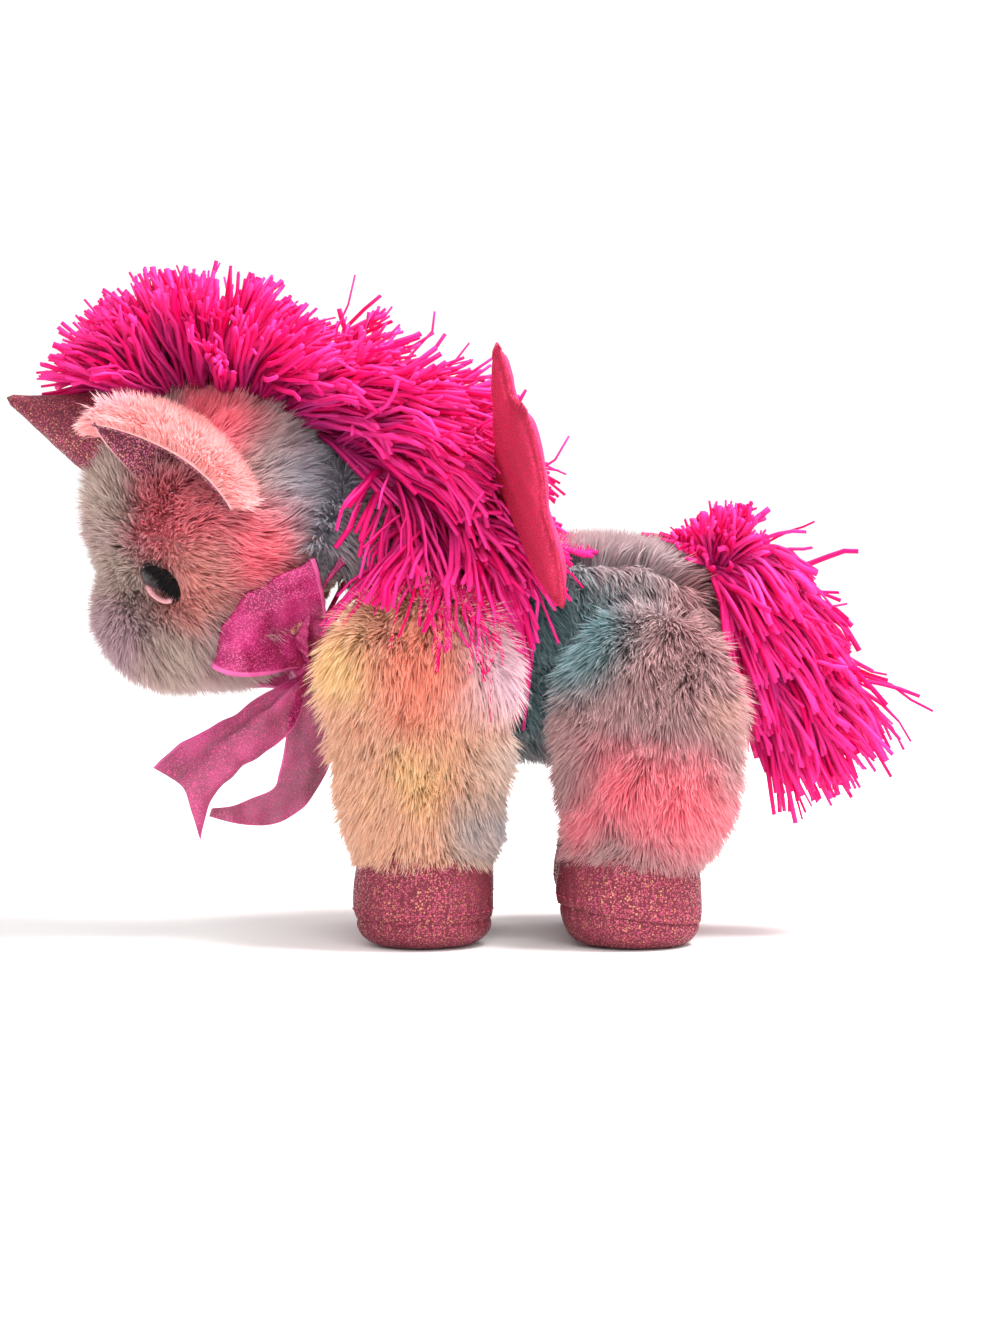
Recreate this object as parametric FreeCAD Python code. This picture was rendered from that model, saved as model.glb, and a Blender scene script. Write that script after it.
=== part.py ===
"""A plush winged unicorn that stands on four stuffed hooves. Each STEP file holds one sewn piece.

Millimetres. +Z is up, the nose points to -X, and the origin is on the floor under the middle of the
whole toy. The toy's own left side is at -Y.
"""

import FreeCAD, Part
import math
import os

V = FreeCAD.Vector

# Driving dimensions.
TOY_LENGTH = 252.0  # horn tip to tail end
PLUSH = 2.2  # thickness of the fur cloth, pile pressed flat
SHEEN_CLOTH = 1.2  # thickness of the glitter cloth of horn and hooves
GAP = 0.6  # room between pieces that move past each other
TORSO_HALF_WIDTH = 22.0  # the torso's flat sides, where the legs are sewn on
TORSO_EDGE = 9.0  # radius of the torso's rounded edges

SHOULDER = V(-7.0, 0, 84.0)  # axis of the front legs and of the neck, along Y
HIP = V(56.0, 0, 80.0)  # axis of the hind legs, along Y
CHEST_RADIUS = 31.5
RUMP = V(52.0, 0, 83.0)
RUMP_RADIUS = 32.5
SKULL = V(-67.0, 0, 122.0)  # centre of the ball that turns in the neck's cup
SKULL_RADIUS = 36.0

NECK_FRONT = V(-60.0, 0, 122.0)
NECK_BACK = V(-7.0, 0, 92.0)

CUFF_HEIGHT = 28.0  # where a leg's fur ends and its hoof begins
SOLE_HEIGHT = 4.5  # the sole's seam
HOOF_SPACING = 23.0  # from the middle of the toy to the middle of a hoof

HORN_LENGTH = 34.0
HORN_DIRECTION = V(-29.0, 0, 5.0).normalize()
HORN_TIP_RADIUS = 1.4
HORN_FOOT_RADIUS = 15.5
HORN_TIP = V(-TOY_LENGTH / 2, 0, 155.5)

EYE_RADIUS = 5.5
EYE_SHANK_RADIUS = 1.8
EYE_WASHER_RADIUS = 5.0
EYE_DIRECTION = V(-0.52, -0.70, -0.48).normalize()  # of the left eye
EYE_PLACE = V(-81.5, -27.0, 105.0)

EAR_ROOT = V(-60.0, -34.0, 130.0)
EAR_TIP = V(-101.0, -36.0, 157.0)
EAR_HALF_WIDTH = 12.0
EAR_DEPTH = 8.0
EAR_TURN = 35.0  # degrees that the ear's opening turns outwards from straight down
LINING = 1.0

WING_ROOT = V(17.0, -3.5, 119.0)
WING_SWEEP = 12.0  # degrees that the wing's outer edge points backwards
WING_LEAN = 13.5  # degrees that the wing leans forwards
WING_CLOTH = 1.0
WING_PADDING = 4.6

BOW_KNOT = V(-45.0, 0, 73.0)
BAND = 0.9  # thickness of the gathered ribbon round the neck
BAND_WIDTH = 10.0
RIBBON_BODY = 1.4  # the ribbon's cloth with its stiff folds, as one solid

TAIL_ROOT = V(76.0, 0, 104.0)
TAIL_HALF_WIDTH = 15.0
# The tail's fringe seen from the side, as (x, z).
TAIL_HAIR = [
    (81, 105), (79, 118), (86, 127), (101, 120), (114, 98), (121, 75),
    (125.3, 47), (112, 41), (98, 42), (90, 54), (89, 75), (86, 92),
]


def ellipsoid(centre, radii):
    """A solid ellipsoid along the axes."""
    place = FreeCAD.Matrix()
    place.scale(*radii)
    place.move(centre)
    return Part.makeSphere(1).transformGeometry(place)


def ball(centre, radius):
    return Part.makeSphere(radius, centre)


def block(low, high):
    return Part.makeBox(high.x - low.x, high.y - low.y, high.z - low.z, low)


def mirrored(shape):
    """The same piece on the toy's right side."""
    return shape.mirror(V(0, 0, 0), V(0, 1, 0))


def oval(centre, along, across, up=V(0, 0, 1), side=V(0, 1, 0)):
    """An elliptical wire: along is its radius square to side and up, across its radius along side."""
    first = side.cross(up)
    if along >= across:
        ellipse = Part.Ellipse(centre + first * along, centre + side * across, centre)
    else:
        ellipse = Part.Ellipse(centre + side * across, centre - first * along, centre)
    return Part.Wire(ellipse.toShape())


def loft(sections):
    return Part.makeLoft(sections, True, False)


def profile(points, half_width):
    """A closed outline in the XZ plane, through points, made half_width thick each way."""
    curve = Part.BSplineCurve()
    curve.interpolate([V(x, -half_width, z) for x, z in points], PeriodicFlag=True)
    face = Part.Face(Part.Wire(curve.toShape()))
    return face.extrude(V(0, 2 * half_width, 0))


def fused(first, *others):
    return first.fuse(list(others))


def largest(shape):
    """The biggest solid of a cut shape, without offcuts."""
    return max(shape.Solids, key=lambda solid: solid.Volume)


# --- torso ---------------------------------------------------------------------------------------


def touching(start, end, start_radius, end_radius, side):
    """The direction square to the line that touches both circles, above them if side is 1."""
    across = end - start
    lean = math.asin((start_radius - end_radius) / across.Length)
    angle = math.atan2(across.z, across.x) + side * (math.pi / 2 - lean)
    return V(math.cos(angle), 0, math.sin(angle))


def torso(inset):
    """Chest, back and rump as one flat-sided body with rounded edges, all faces moved in by inset."""
    half = TORSO_HALF_WIDTH - inset
    chest, rump = CHEST_RADIUS - inset, RUMP_RADIUS - inset
    above = touching(SHOULDER, RUMP, chest, rump, 1)
    below = touching(SHOULDER, RUMP, chest, rump, -1)
    withers, croup = SHOULDER + above * chest, RUMP + above * rump
    groin, breast = RUMP + below * rump, SHOULDER + below * chest
    outline = [
        Part.Arc(breast, SHOULDER - V(chest, 0, 0), withers).toShape(),
        Part.makeLine(withers, croup),
        Part.Arc(croup, RUMP + V(rump, 0, 0), groin).toShape(),
        Part.makeLine(groin, breast),
    ]
    body = Part.Face(Part.Wire(outline)).extrude(V(0, 2 * half, 0))
    body.translate(V(0, -half, 0))
    side_edges = [edge for edge in body.Edges if edge.BoundBox.YLength < 0.01]
    return body.makeFillet(TORSO_EDGE - inset, side_edges)


def torso_pieces():
    stuffing = torso(PLUSH)
    return {"torso_cover": torso(0).cut(stuffing), "torso_stuffing": stuffing}


# --- legs ----------------------------------------------------------------------------------------

# Each section of a leg is (height, middle x, middle y, radius along x, radius along y).
FRONT_LEG = {
    "thigh": (V(-7, -30, 76), (30.0, 12.5, 28.0)),
    "column": (
        (CUFF_HEIGHT, -6.0, -23.0, 20.0, 18.5),
        (44.0, -6.5, -25.5, 24.0, 17.0),
        (62.0, -7.0, -28.0, 27.0, 14.0),
    ),
    "hoof": (
        (0.0, -6.3, 13.0, 12.0),
        (SOLE_HEIGHT, -6.3, 18.0, 17.0),
        (13.0, -6.3, 20.0, 18.5),
        (CUFF_HEIGHT, -6.0, 17.2, 15.8),
    ),
    "step": 43.0,
}
HIND_LEG = {
    "thigh": (V(57, -30, 66), (27.0, 12.5, 33.0)),
    "column": (
        (CUFF_HEIGHT, 56.0, -23.0, 22.0, 18.5),
        (40.0, 57.0, -25.0, 25.0, 17.0),
        (55.0, 58.0, -28.0, 26.5, 14.0),
    ),
    "hoof": (
        (0.0, 53.0, 14.0, 12.0),
        (SOLE_HEIGHT, 52.0, 19.0, 17.0),
        (13.0, 51.5, 20.8, 18.5),
        (CUFF_HEIGHT, 54.0, 17.6, 15.8),
    ),
    "step": 36.0,
}


def leg_above_cuff(leg, inset):
    """The furred part of the left leg: a thigh beside the torso and a column that reaches in under it."""
    centre, radii = leg["thigh"]
    thigh = ellipsoid(centre, [r - inset for r in radii])
    column = loft(
        [oval(V(x, y, z), along - inset, across - inset) for z, x, y, along, across in leg["column"]]
    )
    inner_face = -(TORSO_HALF_WIDTH + GAP + inset)
    beside_torso = block(V(-60, inner_face, leg["step"] - inset), V(110, 10, 130))
    return fused(thigh, column).cut(beside_torso).cut(block(V(-60, -60, -10), V(110, 10, CUFF_HEIGHT)))


def hoof_shape(leg, inset):
    spacing = -HOOF_SPACING
    return loft(
        [oval(V(x, spacing, z), along - inset, across - inset) for z, x, along, across in leg["hoof"]]
    )


def leg_pieces(name, leg):
    """The left leg's cover, stuffing, hoof and sole."""
    below_seam = block(V(-60, -60, -1), V(110, 10, SOLE_HEIGHT))
    fill_above = leg_above_cuff(leg, PLUSH)
    fill_below = hoof_shape(leg, SHEEN_CLOTH).cut(block(V(-60, -60, -1), V(110, 10, SHEEN_CLOTH)))
    hoof = hoof_shape(leg, 0).cut(fill_below)
    return {
        f"{name}_cover": leg_above_cuff(leg, 0).cut(fill_above),
        f"{name}_stuffing": fused(fill_above, fill_below),
        f"{name}_hoof": hoof.cut(below_seam),
        f"{name}_sole": hoof.common(below_seam),
    }


# --- neck and mane -------------------------------------------------------------------------------

NECK_AXIS = (NECK_BACK - NECK_FRONT).normalize()
NECK_BACK_ANGLE = -1.0  # degrees behind the shoulder axis where the neck's cloth ends
MANE_HALF_WIDTH = 29.0
WITHERS_HALF_WIDTH = 6.0
# The fringe seen from the side, as (x, z).
NECK_MANE = [
    (-45, 112), (-36, 135), (-33, 165), (-29, 182), (-19, 178),
    (-12, 166), (-10, 145), (-9, 122), (-24, 108),
]
WITHERS_MANE = [
    (5.5, 113), (5.3, 119), (3.4, 128), (2.4, 140), (3.4, 152),
    (6, 152), (7.6, 140), (8, 126), (9, 113),
]
CROWN_LOW = 148.0  # the crown's fringe stays above the neck behind the skull
HEAD_MANE = [
    (-88, 140), (-97, 166), (-100, 178), (-84, 188), (-67, 192),
    (-45, 190), (-29, 182), (-28, 150), (-50, 130),
]


def neck_shape(grow):
    """The tapered neck, before the skull's cup and the chest are taken out of it."""
    up = NECK_AXIS
    throat = oval(NECK_FRONT, 27.0 + grow, 25.0 + grow, up)
    return loft([throat, oval(NECK_BACK, 29.0 + grow, 21.0 + grow, up)])


def skull(grow):
    return ball(SKULL, SKULL_RADIUS + grow)


def jaw(grow):
    """Round about the axis that the head turns on, so that it never meets the neck."""
    return ellipsoid(V(SKULL.x, 0, 97), (26.0 + grow, 26.0 + grow, 24.0 + grow))


def chest_clearance(grow):
    """The space round the shoulder axis that the neck leaves free when it nods."""
    return Part.makeCylinder(CHEST_RADIUS + grow, 120, V(SHOULDER.x, -60, SHOULDER.z), V(0, 1, 0))


def behind_withers():
    """The space behind the neck that it leaves free when it nods back."""
    corner = block(V(SHOULDER.x, -60, SHOULDER.z - 60), V(SHOULDER.x + 60, 60, SHOULDER.z + 60))
    corner.rotate(SHOULDER, V(0, 1, 0), NECK_BACK_ANGLE)
    return corner


def outside_joints(shape, grow=GAP):
    """shape without the room that the skull, jaw and chest need."""
    for tool in (skull(grow), jaw(grow), chest_clearance(grow), behind_withers()):
        shape = shape.cut(tool)
    return shape


def neck_pieces():
    inside = outside_joints(neck_shape(-PLUSH), GAP + PLUSH)
    outside = outside_joints(neck_shape(0))
    mane = profile(NECK_MANE, MANE_HALF_WIDTH)
    turning_head = Part.makeCylinder(SKULL_RADIUS + 2, 120, V(SKULL.x, 0, 90))
    for tool in (turning_head, neck_shape(0), band_clearance(), skull(1.0), chest_clearance(1.5)):
        mane = mane.cut(tool)
    return {
        "neck_cover": largest(outside).cut(largest(inside)),
        "neck_stuffing": largest(inside),
        "neck_mane": largest(mane),
    }


def withers_mane():
    return largest(profile(WITHERS_MANE, WITHERS_HALF_WIDTH).cut(torso(0)))


# --- ribbon --------------------------------------------------------------------------------------


def across_neck(length):
    """A thick disc square to the neck, where the ribbon goes round it."""
    middle = NECK_FRONT + NECK_AXIS * (BOW_KNOT - NECK_FRONT).dot(NECK_AXIS)
    return Part.makeCylinder(60, length, middle - NECK_AXIS * (length / 2), NECK_AXIS)


def band_clearance():
    return neck_shape(BAND + 0.3).common(across_neck(BAND_WIDTH + 1))


def ribbon_pieces():
    """The band round the neck, its knot, two loops and two hanging ends."""
    band = outside_joints(neck_shape(BAND).cut(neck_shape(0)).common(across_neck(BAND_WIDTH)))
    knot = ellipsoid(BOW_KNOT, (4.6, 6.5, 5.2)).cut(neck_shape(BAND))
    loop = loft(
        [
            oval(BOW_KNOT + V(-0.5, -5.5, 1.0), 3.2, 2.4, V(0, -1, 0.3).normalize(), V(1, 0, 0)),
            oval(V(-50, -27, 88), 6.0, 12.5, V(0, -1, 0.45).normalize(), V(1, 0, 0)),
            oval(V(-50, -42, 96), 7.5, 13.5, V(0, -1, 0.45).normalize(), V(1, 0, 0)),
            oval(V(-49, -48, 99), 4.0, 8.0, V(0, -1, 0.45).normalize(), V(1, 0, 0)),
        ]
    )
    loop = loop.cut(knot)
    for tool in (skull(1.0), jaw(1.0), neck_shape(1.0), chest_clearance(1.5)):
        loop = loop.cut(tool)
    near_end = flat_strip([(-50, 70), (-83.5, 49.5), (-75, 42), (-70, 29), (-47.5, 65)], -9.0)
    far_end = curved_strip([(-46.5, 67.5), (-47.5, 56), (-52, 45), (-60, 38), (-70, 35.5)], 2.0, 17.0)
    return {
        "ribbon_band": largest(band),
        "bow_knot": knot,
        "bow_loop_left": largest(loop),
        "bow_loop_right": mirrored(largest(loop)),
        "ribbon_end_left": near_end.cut(knot),
        "ribbon_end_right": far_end.cut(knot),
    }


def flat_strip(corners, y):
    """A flat end of ribbon with these (x, z) corners, as thick as its stiff folds."""
    points = [V(x, y, z) for x, z in corners]
    return Part.Face(Part.makePolygon(points + points[:1])).extrude(V(0, -RIBBON_BODY, 0))


def curved_strip(line, y_from, y_to):
    """A ribbon that hangs in a curve in the XZ plane, from y_from to y_to wide."""
    middle = Part.BSplineCurve()
    middle.interpolate([V(x, y_from, z) for x, z in line])
    step = (middle.LastParameter - middle.FirstParameter) / 8
    sides = []
    for shift in (RIBBON_BODY / 2, -RIBBON_BODY / 2):
        points = []
        for i in range(9):
            u = middle.FirstParameter + i * step
            along = middle.tangent(u)[0]
            points.append(middle.value(u) + V(-along.z, 0, along.x) * shift)
        side = Part.BSplineCurve()
        side.interpolate(points)
        sides.append(side)
    first, second = (s.toShape() for s in sides)
    ends = [
        Part.makeLine(sides[0].StartPoint, sides[1].StartPoint),
        Part.makeLine(sides[0].EndPoint, sides[1].EndPoint),
    ]
    wire = Part.Wire(Part.__sortEdges__([first, ends[1], second, ends[0]]))
    return Part.Face(wire).extrude(V(0, y_to - y_from, 0))


# --- head ----------------------------------------------------------------------------------------


def head_shape(inset):
    muzzle = ellipsoid(V(-79, 0, 94), (22.5 - inset, 23.0 - inset, 22.0 - inset))
    return fused(skull(-inset), jaw(-inset), muzzle)


def horn_shape(inset):
    """The stuffed cone, before its foot is cut to the forehead."""
    foot = HORN_TIP - HORN_DIRECTION * HORN_LENGTH
    tip_radius = HORN_TIP_RADIUS - inset * 0.5
    return Part.makeCone(HORN_FOOT_RADIUS - inset, tip_radius, HORN_LENGTH - inset, foot, HORN_DIRECTION)


def eye_pieces(head):
    """The left eye: a dome on a ribbed shank, the washer that locks it, and a cloth lid over it."""
    dome = ball(EYE_PLACE - EYE_DIRECTION * 2.5, EYE_RADIUS).cut(head)
    shank = Part.makeCylinder(EYE_SHANK_RADIUS, 13, EYE_PLACE - EYE_DIRECTION * 12, EYE_DIRECTION)
    eye = fused(largest(dome), shank)
    washer = Part.makeCylinder(EYE_WASHER_RADIUS, 1.4, EYE_PLACE - EYE_DIRECTION * 9.5, EYE_DIRECTION)
    middle = EYE_PLACE - EYE_DIRECTION * 2.5
    lid = ball(middle, EYE_RADIUS + 0.8).cut(ball(middle, EYE_RADIUS))
    above = Part.makeBox(40, 40, 20, EYE_PLACE + V(-20, -20, 0.8))
    return eye, shank, washer, washer.cut(shank), largest(lid.common(above).cut(head))


def ear_pieces():
    """The left ear: a furred back and a glitter lining across its hollow side."""
    along = (EAR_TIP - EAR_ROOT).normalize()
    length = (EAR_TIP - EAR_ROOT).Length
    down = along.cross(V(0, 1, 0)).normalize()
    if down.z > 0:
        down = -down
    outwards = along.cross(down).normalize()
    if outwards.y > 0:
        outwards = -outwards
    turn = math.radians(EAR_TURN)
    opening = down * math.cos(turn) + outwards * math.sin(turn)
    across = outwards * math.cos(turn) - down * math.sin(turn)
    middle = (EAR_TIP + EAR_ROOT) * 0.5

    def leaf(half_length, half_width, depth, lift):
        place = FreeCAD.Matrix(
            along.x * half_length, across.x * half_width, opening.x * depth, middle.x + opening.x * lift,
            along.y * half_length, across.y * half_width, opening.y * depth, middle.y + opening.y * lift,
            along.z * half_length, across.z * half_width, opening.z * depth, middle.z + opening.z * lift,
            0, 0, 0, 1,
        )
        half = Part.makeSphere(1, V(0, 0, 0), V(0, 0, 1), -90, 0, 360)
        return half.transformGeometry(place)

    back = leaf(length / 2, EAR_HALF_WIDTH, EAR_DEPTH, 0)
    hollow = leaf(length / 2 - 2.5, EAR_HALF_WIDTH - 2.5, EAR_DEPTH - 2.5, 0)
    seat = leaf(length / 2 - 2.5 - LINING, EAR_HALF_WIDTH - 2.5 - LINING, EAR_DEPTH - 2.5 - LINING, 0)
    room = ball(SKULL, SKULL_RADIUS + 1.0)
    return {
        "ear_left_back": largest(back.cut(hollow).cut(room)),
        "ear_left_lining": largest(hollow.cut(seat).cut(room)),
    }


def head_pieces():
    outside, inside = head_shape(0), head_shape(PLUSH)
    eye, shank, washer_disc, washer, lid = eye_pieces(outside)
    cover = outside.cut(inside).cut(shank).cut(mirrored(shank))
    stuffing = inside
    for tool in (shank, washer_disc):
        stuffing = stuffing.cut(tool).cut(mirrored(tool))
    horn_fill = horn_shape(SHEEN_CLOTH)
    horn = horn_shape(0)
    crown = profile(HEAD_MANE, 20.0).cut(outside).cut(horn)
    sweep = Part.makeCylinder(SKULL_RADIUS + 1, 120, V(SKULL.x, 0, 85))
    crown = crown.cut(block(V(SKULL.x, -40, 90), V(0, 40, 200)).cut(sweep))
    crown = crown.cut(block(V(SKULL.x, -40, 90), V(0, 40, CROWN_LOW)))
    pieces = {
        "head_cover": cover,
        "head_stuffing": stuffing,
        "horn_cover": largest(horn.cut(horn_fill).cut(outside)),
        "horn_stuffing": largest(horn_fill.cut(outside)),
        "head_mane": largest(crown),
    }
    for side, place in (("left", lambda s: s), ("right", mirrored)):
        pieces[f"eye_{side}"] = place(eye)
        pieces[f"eye_washer_{side}"] = place(washer)
        pieces[f"eyelid_{side}"] = place(lid)
    return pieces


# --- wings ---------------------------------------------------------------------------------------

# The wing's outline, as (distance out from its root, height above it): along the inner edge to the
# top feather, round three feather tips, and back along the lower edge.
WING_OUTLINE = [
    [(0, 0.5), (3, 13), (22, 33), (40, 52)],
    [(40, 52), (49, 53), (53, 44), (52, 38)],
    [(52, 38), (64, 33), (67, 18), (59, 5)],
    [(59, 5), (61, -10), (53, -21), (42, -20)],
    [(42, -20), (31, -14), (22, -4), (10, 0), (0, 0.5)],
]


def wing_layer(start, thickness):
    """One flat layer of the left wing, in its own plane, thickness deep from start."""
    edges = []
    for points in WING_OUTLINE:
        curve = Part.BSplineCurve()
        curve.interpolate([V(0, -out, up) for out, up in points])
        edges.append(curve.toShape())
    layer = Part.Face(Part.Wire(edges)).extrude(V(thickness, 0, 0))
    layer.translate(V(start, 0, 0))
    layer.rotate(V(0, 0, 0), V(0, 0, 1), WING_SWEEP)
    layer.rotate(V(0, 0, 0), V(0, 1, 0), -WING_LEAN)
    layer.translate(WING_ROOT)
    return layer


def wing_pieces():
    half = WING_PADDING / 2
    return {
        "wing_left_front": wing_layer(-half - WING_CLOTH, WING_CLOTH),
        "wing_left_padding": wing_layer(-half, WING_PADDING),
        "wing_left_back": wing_layer(half, WING_CLOTH),
    }


# --- tail ----------------------------------------------------------------------------------------


def tail_pieces():
    core = Part.makeCone(4.5, 2.0, 58, V(82, 0, 100), V(0.52, 0, -0.85).normalize())
    hair = profile(TAIL_HAIR, TAIL_HALF_WIDTH)
    room = torso(-GAP - 0.4)
    return {"tail_core": largest(core.cut(room)), "tail_hair": largest(hair.cut(core).cut(room))}


def main():
    os.makedirs("parts", exist_ok=True)
    pieces = {**torso_pieces(), **neck_pieces(), **ribbon_pieces(), **head_pieces(), **tail_pieces()}
    pieces["withers_mane"] = withers_mane()
    left_pieces = {
        **leg_pieces("front_left", FRONT_LEG),
        **leg_pieces("hind_left", HIND_LEG),
        **ear_pieces(),
        **wing_pieces(),
    }
    for name, shape in left_pieces.items():
        pieces[name] = shape
        pieces[name.replace("left", "right")] = mirrored(shape)
    for name, shape in sorted(pieces.items()):
        shape.exportStep(f"parts/{name}.step")
        state = f"solids {len(shape.Solids)} valid {shape.isValid()}"
        print(f"{name:22s} {state} {shape.Volume / 1000:8.2f} cm3")


main()
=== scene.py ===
import math

import bmesh
import bpy
import numpy as np
from mathutils import Matrix, Vector
from mathutils.kdtree import KDTree


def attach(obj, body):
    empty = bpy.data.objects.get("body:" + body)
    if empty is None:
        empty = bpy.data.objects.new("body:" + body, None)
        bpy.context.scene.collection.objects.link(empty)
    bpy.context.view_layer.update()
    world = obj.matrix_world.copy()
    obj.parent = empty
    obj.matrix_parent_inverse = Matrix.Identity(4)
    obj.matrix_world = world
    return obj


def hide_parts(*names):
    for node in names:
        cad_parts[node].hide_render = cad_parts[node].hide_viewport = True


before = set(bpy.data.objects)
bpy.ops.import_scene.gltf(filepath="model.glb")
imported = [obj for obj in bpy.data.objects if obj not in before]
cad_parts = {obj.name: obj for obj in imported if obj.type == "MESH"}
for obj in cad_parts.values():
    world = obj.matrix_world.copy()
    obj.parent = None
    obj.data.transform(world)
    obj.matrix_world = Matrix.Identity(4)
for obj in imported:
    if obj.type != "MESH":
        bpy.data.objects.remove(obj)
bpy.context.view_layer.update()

# ---- Table, backdrop, lights and camera ---------------------------------------------------------
# The toy stands on a plain pale table that curves up behind it. A broad window-like light comes
# from the tail side and above, and a weak fill from the front keeps the face readable.


def link(mesh, name):
    """A new object at the origin for this mesh."""
    obj = bpy.data.objects.new(name, mesh)
    bpy.context.collection.objects.link(obj)
    return obj


def built(bm, name, smooth=True):
    """A new object from a finished bmesh."""
    mesh = bpy.data.meshes.new(name)
    bm.to_mesh(mesh)
    bm.free()
    if smooth:
        mesh.shade_smooth()
    return link(mesh, name)


def new_material(name):
    material = bpy.data.materials.new(name)
    material.use_nodes = True
    return material, material.node_tree.nodes, material.node_tree.links


def made(nodes, kind, values=None, **settings):
    """A shader node with its settings, and with values on its sockets by name or number."""
    node = nodes.new("ShaderNode" + kind)
    for name, value in settings.items():
        setattr(node, name, value)
    for socket, value in (values or {}).items():
        node.inputs[socket].default_value = value
    return node


def two_tone(nodes, low, high, places=(0.0, 1.0)):
    """A colour ramp from one colour to another."""
    ramp = nodes.new("ShaderNodeValToRGB")
    for end, colour, place in zip(ramp.color_ramp.elements, (low, high), places):
        end.position = place
        end.color = (*colour, 1)
    return ramp


def wire(links, runs):
    """Links given as (node, its output, node, its input)."""
    for start, output, end, socket in runs:
        links.new(start.outputs[output], end.inputs[socket])


def mottled(name, scale, low, high, roughness, specular=0.5, bump=None, pattern="TexNoise"):
    """A finish that wanders between two colours; bump is its (strength, depth in metres)."""
    material, nodes, links = new_material(name)
    shader = nodes["Principled BSDF"]
    coords = made(nodes, "TexCoord")
    grain = made(nodes, pattern, {"Scale": scale})
    tint = two_tone(nodes, low, high)
    wire(links, [
        (coords, "Object", grain, "Vector"), (grain, "Fac", tint, "Fac"),
        (tint, "Color", shader, "Base Color"),
    ])
    if bump:
        relief = made(nodes, "Bump", {"Strength": bump[0], "Distance": bump[1]})
        wire(links, [(grain, "Fac", relief, "Height"), (relief, "Normal", shader, "Normal")])
    shader.inputs["Roughness"].default_value = roughness
    shader.inputs["Specular IOR Level"].default_value = specular
    return material


TABLE = 3.0
bm = bmesh.new()
bmesh.ops.create_grid(bm, x_segments=1, y_segments=1, size=TABLE)
far_edge = [e for e in bm.edges if all(v.co.y > 0 for v in e.verts)]
risen = bmesh.ops.extrude_edge_only(bm, edges=far_edge)["geom"]
bmesh.ops.translate(bm, vec=(0, 0, TABLE), verts=[g for g in risen if isinstance(g, bmesh.types.BMVert)])
bend = [e for e in bm.edges if all(v.co.y > 0 and v.co.z < TABLE / 2 for v in e.verts)]
bmesh.ops.bevel(bm, geom=bend, offset=TABLE / 2, segments=16, affect="EDGES", profile=0.5, material=-1)
bmesh.ops.recalc_face_normals(bm, faces=bm.faces)
table_top = built(bm, "table_top")

table_top.data.materials.append(mottled("table_paper", 6.0, (0.90,) * 3, (0.94,) * 3, 0.9))


def soft_light(name, place, aim, size, watts, colour):
    lamp = bpy.data.lights.new(name, "AREA")
    lamp.shape = "DISK"
    lamp.size = size
    lamp.energy = watts
    lamp.color = colour
    holder = bpy.data.objects.new(name, lamp)
    holder.location = place
    holder.rotation_euler = (Vector(aim) - Vector(place)).to_track_quat("-Z", "Y").to_euler()
    bpy.context.collection.objects.link(holder)


TOY_MIDDLE = (0.0, 0.0, 0.08)
soft_light("window", (0.42, -0.10, 1.05), TOY_MIDDLE, 0.5, 26.0, (1.0, 0.98, 0.96))
soft_light("front_fill", (0.3, -1.1, 0.6), TOY_MIDDLE, 1.0, 6.0, (1.0, 0.97, 0.95))

world = bpy.data.worlds.new("studio")
bpy.context.scene.world = world
world.use_nodes = True
world.node_tree.nodes["Background"].inputs["Color"].default_value = (1.0, 1.0, 1.0, 1)
world.node_tree.nodes["Background"].inputs["Strength"].default_value = 1.0

lens = bpy.data.cameras.new("camera")
lens.sensor_fit = "VERTICAL"
lens.sensor_height = 36.0
lens.lens = 93.4
lens.clip_start = 0.01
camera = bpy.data.objects.new("camera", lens)
aim_at = Vector((0.0155, 0.0, 0.0778))
tilt = math.radians(3.0)
stand_off = 1.0
camera.location = aim_at + stand_off * Vector((0, -math.cos(tilt), math.sin(tilt)))
camera.rotation_euler = (aim_at - camera.location).to_track_quat("-Z", "Y").to_euler()
bpy.context.collection.objects.link(camera)
bpy.context.scene.camera = camera
bpy.context.scene.view_settings.view_transform = "Standard"

# ---- Torso --------------------------------------------------------------------------------------
# The torso is a bag of long-pile fur cloth, dyed in soft patches, blown full of polyester fibre. Its
# flat sides carry the legs. The pile is about 10 mm long and lies back and down.


def settled(obj):
    """Applies every modifier of obj."""
    bpy.context.view_layer.update()
    done = bpy.data.meshes.new_from_object(obj.evaluated_get(bpy.context.evaluated_depsgraph_get()))
    obj.modifiers.clear()
    obj.data = done
    return obj


def cushion(node, name, shrink, voxel=0.002, smooth=8):
    """The stuffed shape of a soft CAD node as an even mesh, its surface moved in by shrink."""
    bm = bmesh.new()
    bm.from_mesh(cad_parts[node].data)
    bmesh.ops.remove_doubles(bm, verts=bm.verts, dist=1e-6)
    obj = built(bm, name, smooth=False)
    even = obj.modifiers.new("even", "REMESH")
    even.mode = "VOXEL"
    even.voxel_size = voxel
    soften = obj.modifiers.new("soften", "SMOOTH")
    soften.factor = 0.5
    soften.iterations = smooth
    settled(obj)
    move_along_normals(obj, -shrink)
    obj.data.shade_smooth()
    return obj


def vertex_places(mesh):
    places = np.empty(len(mesh.vertices) * 3, np.float32)
    mesh.vertices.foreach_get("co", places)
    return places.reshape(-1, 3).astype(float)


def vertex_normals(mesh):
    normals = np.empty(len(mesh.vertices) * 3, np.float32)
    mesh.vertex_normals.foreach_get("vector", normals)
    return normals.reshape(-1, 3).astype(float)


def move_along_normals(obj, distance):
    places = vertex_places(obj.data) + vertex_normals(obj.data) * np.asarray(distance).reshape(-1, 1)
    obj.data.vertices.foreach_set("co", places.astype(np.float32).ravel())
    obj.data.update()


def unit(vectors):
    return vectors / np.maximum(np.linalg.norm(vectors, axis=-1, keepdims=True), 1e-12)


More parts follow.
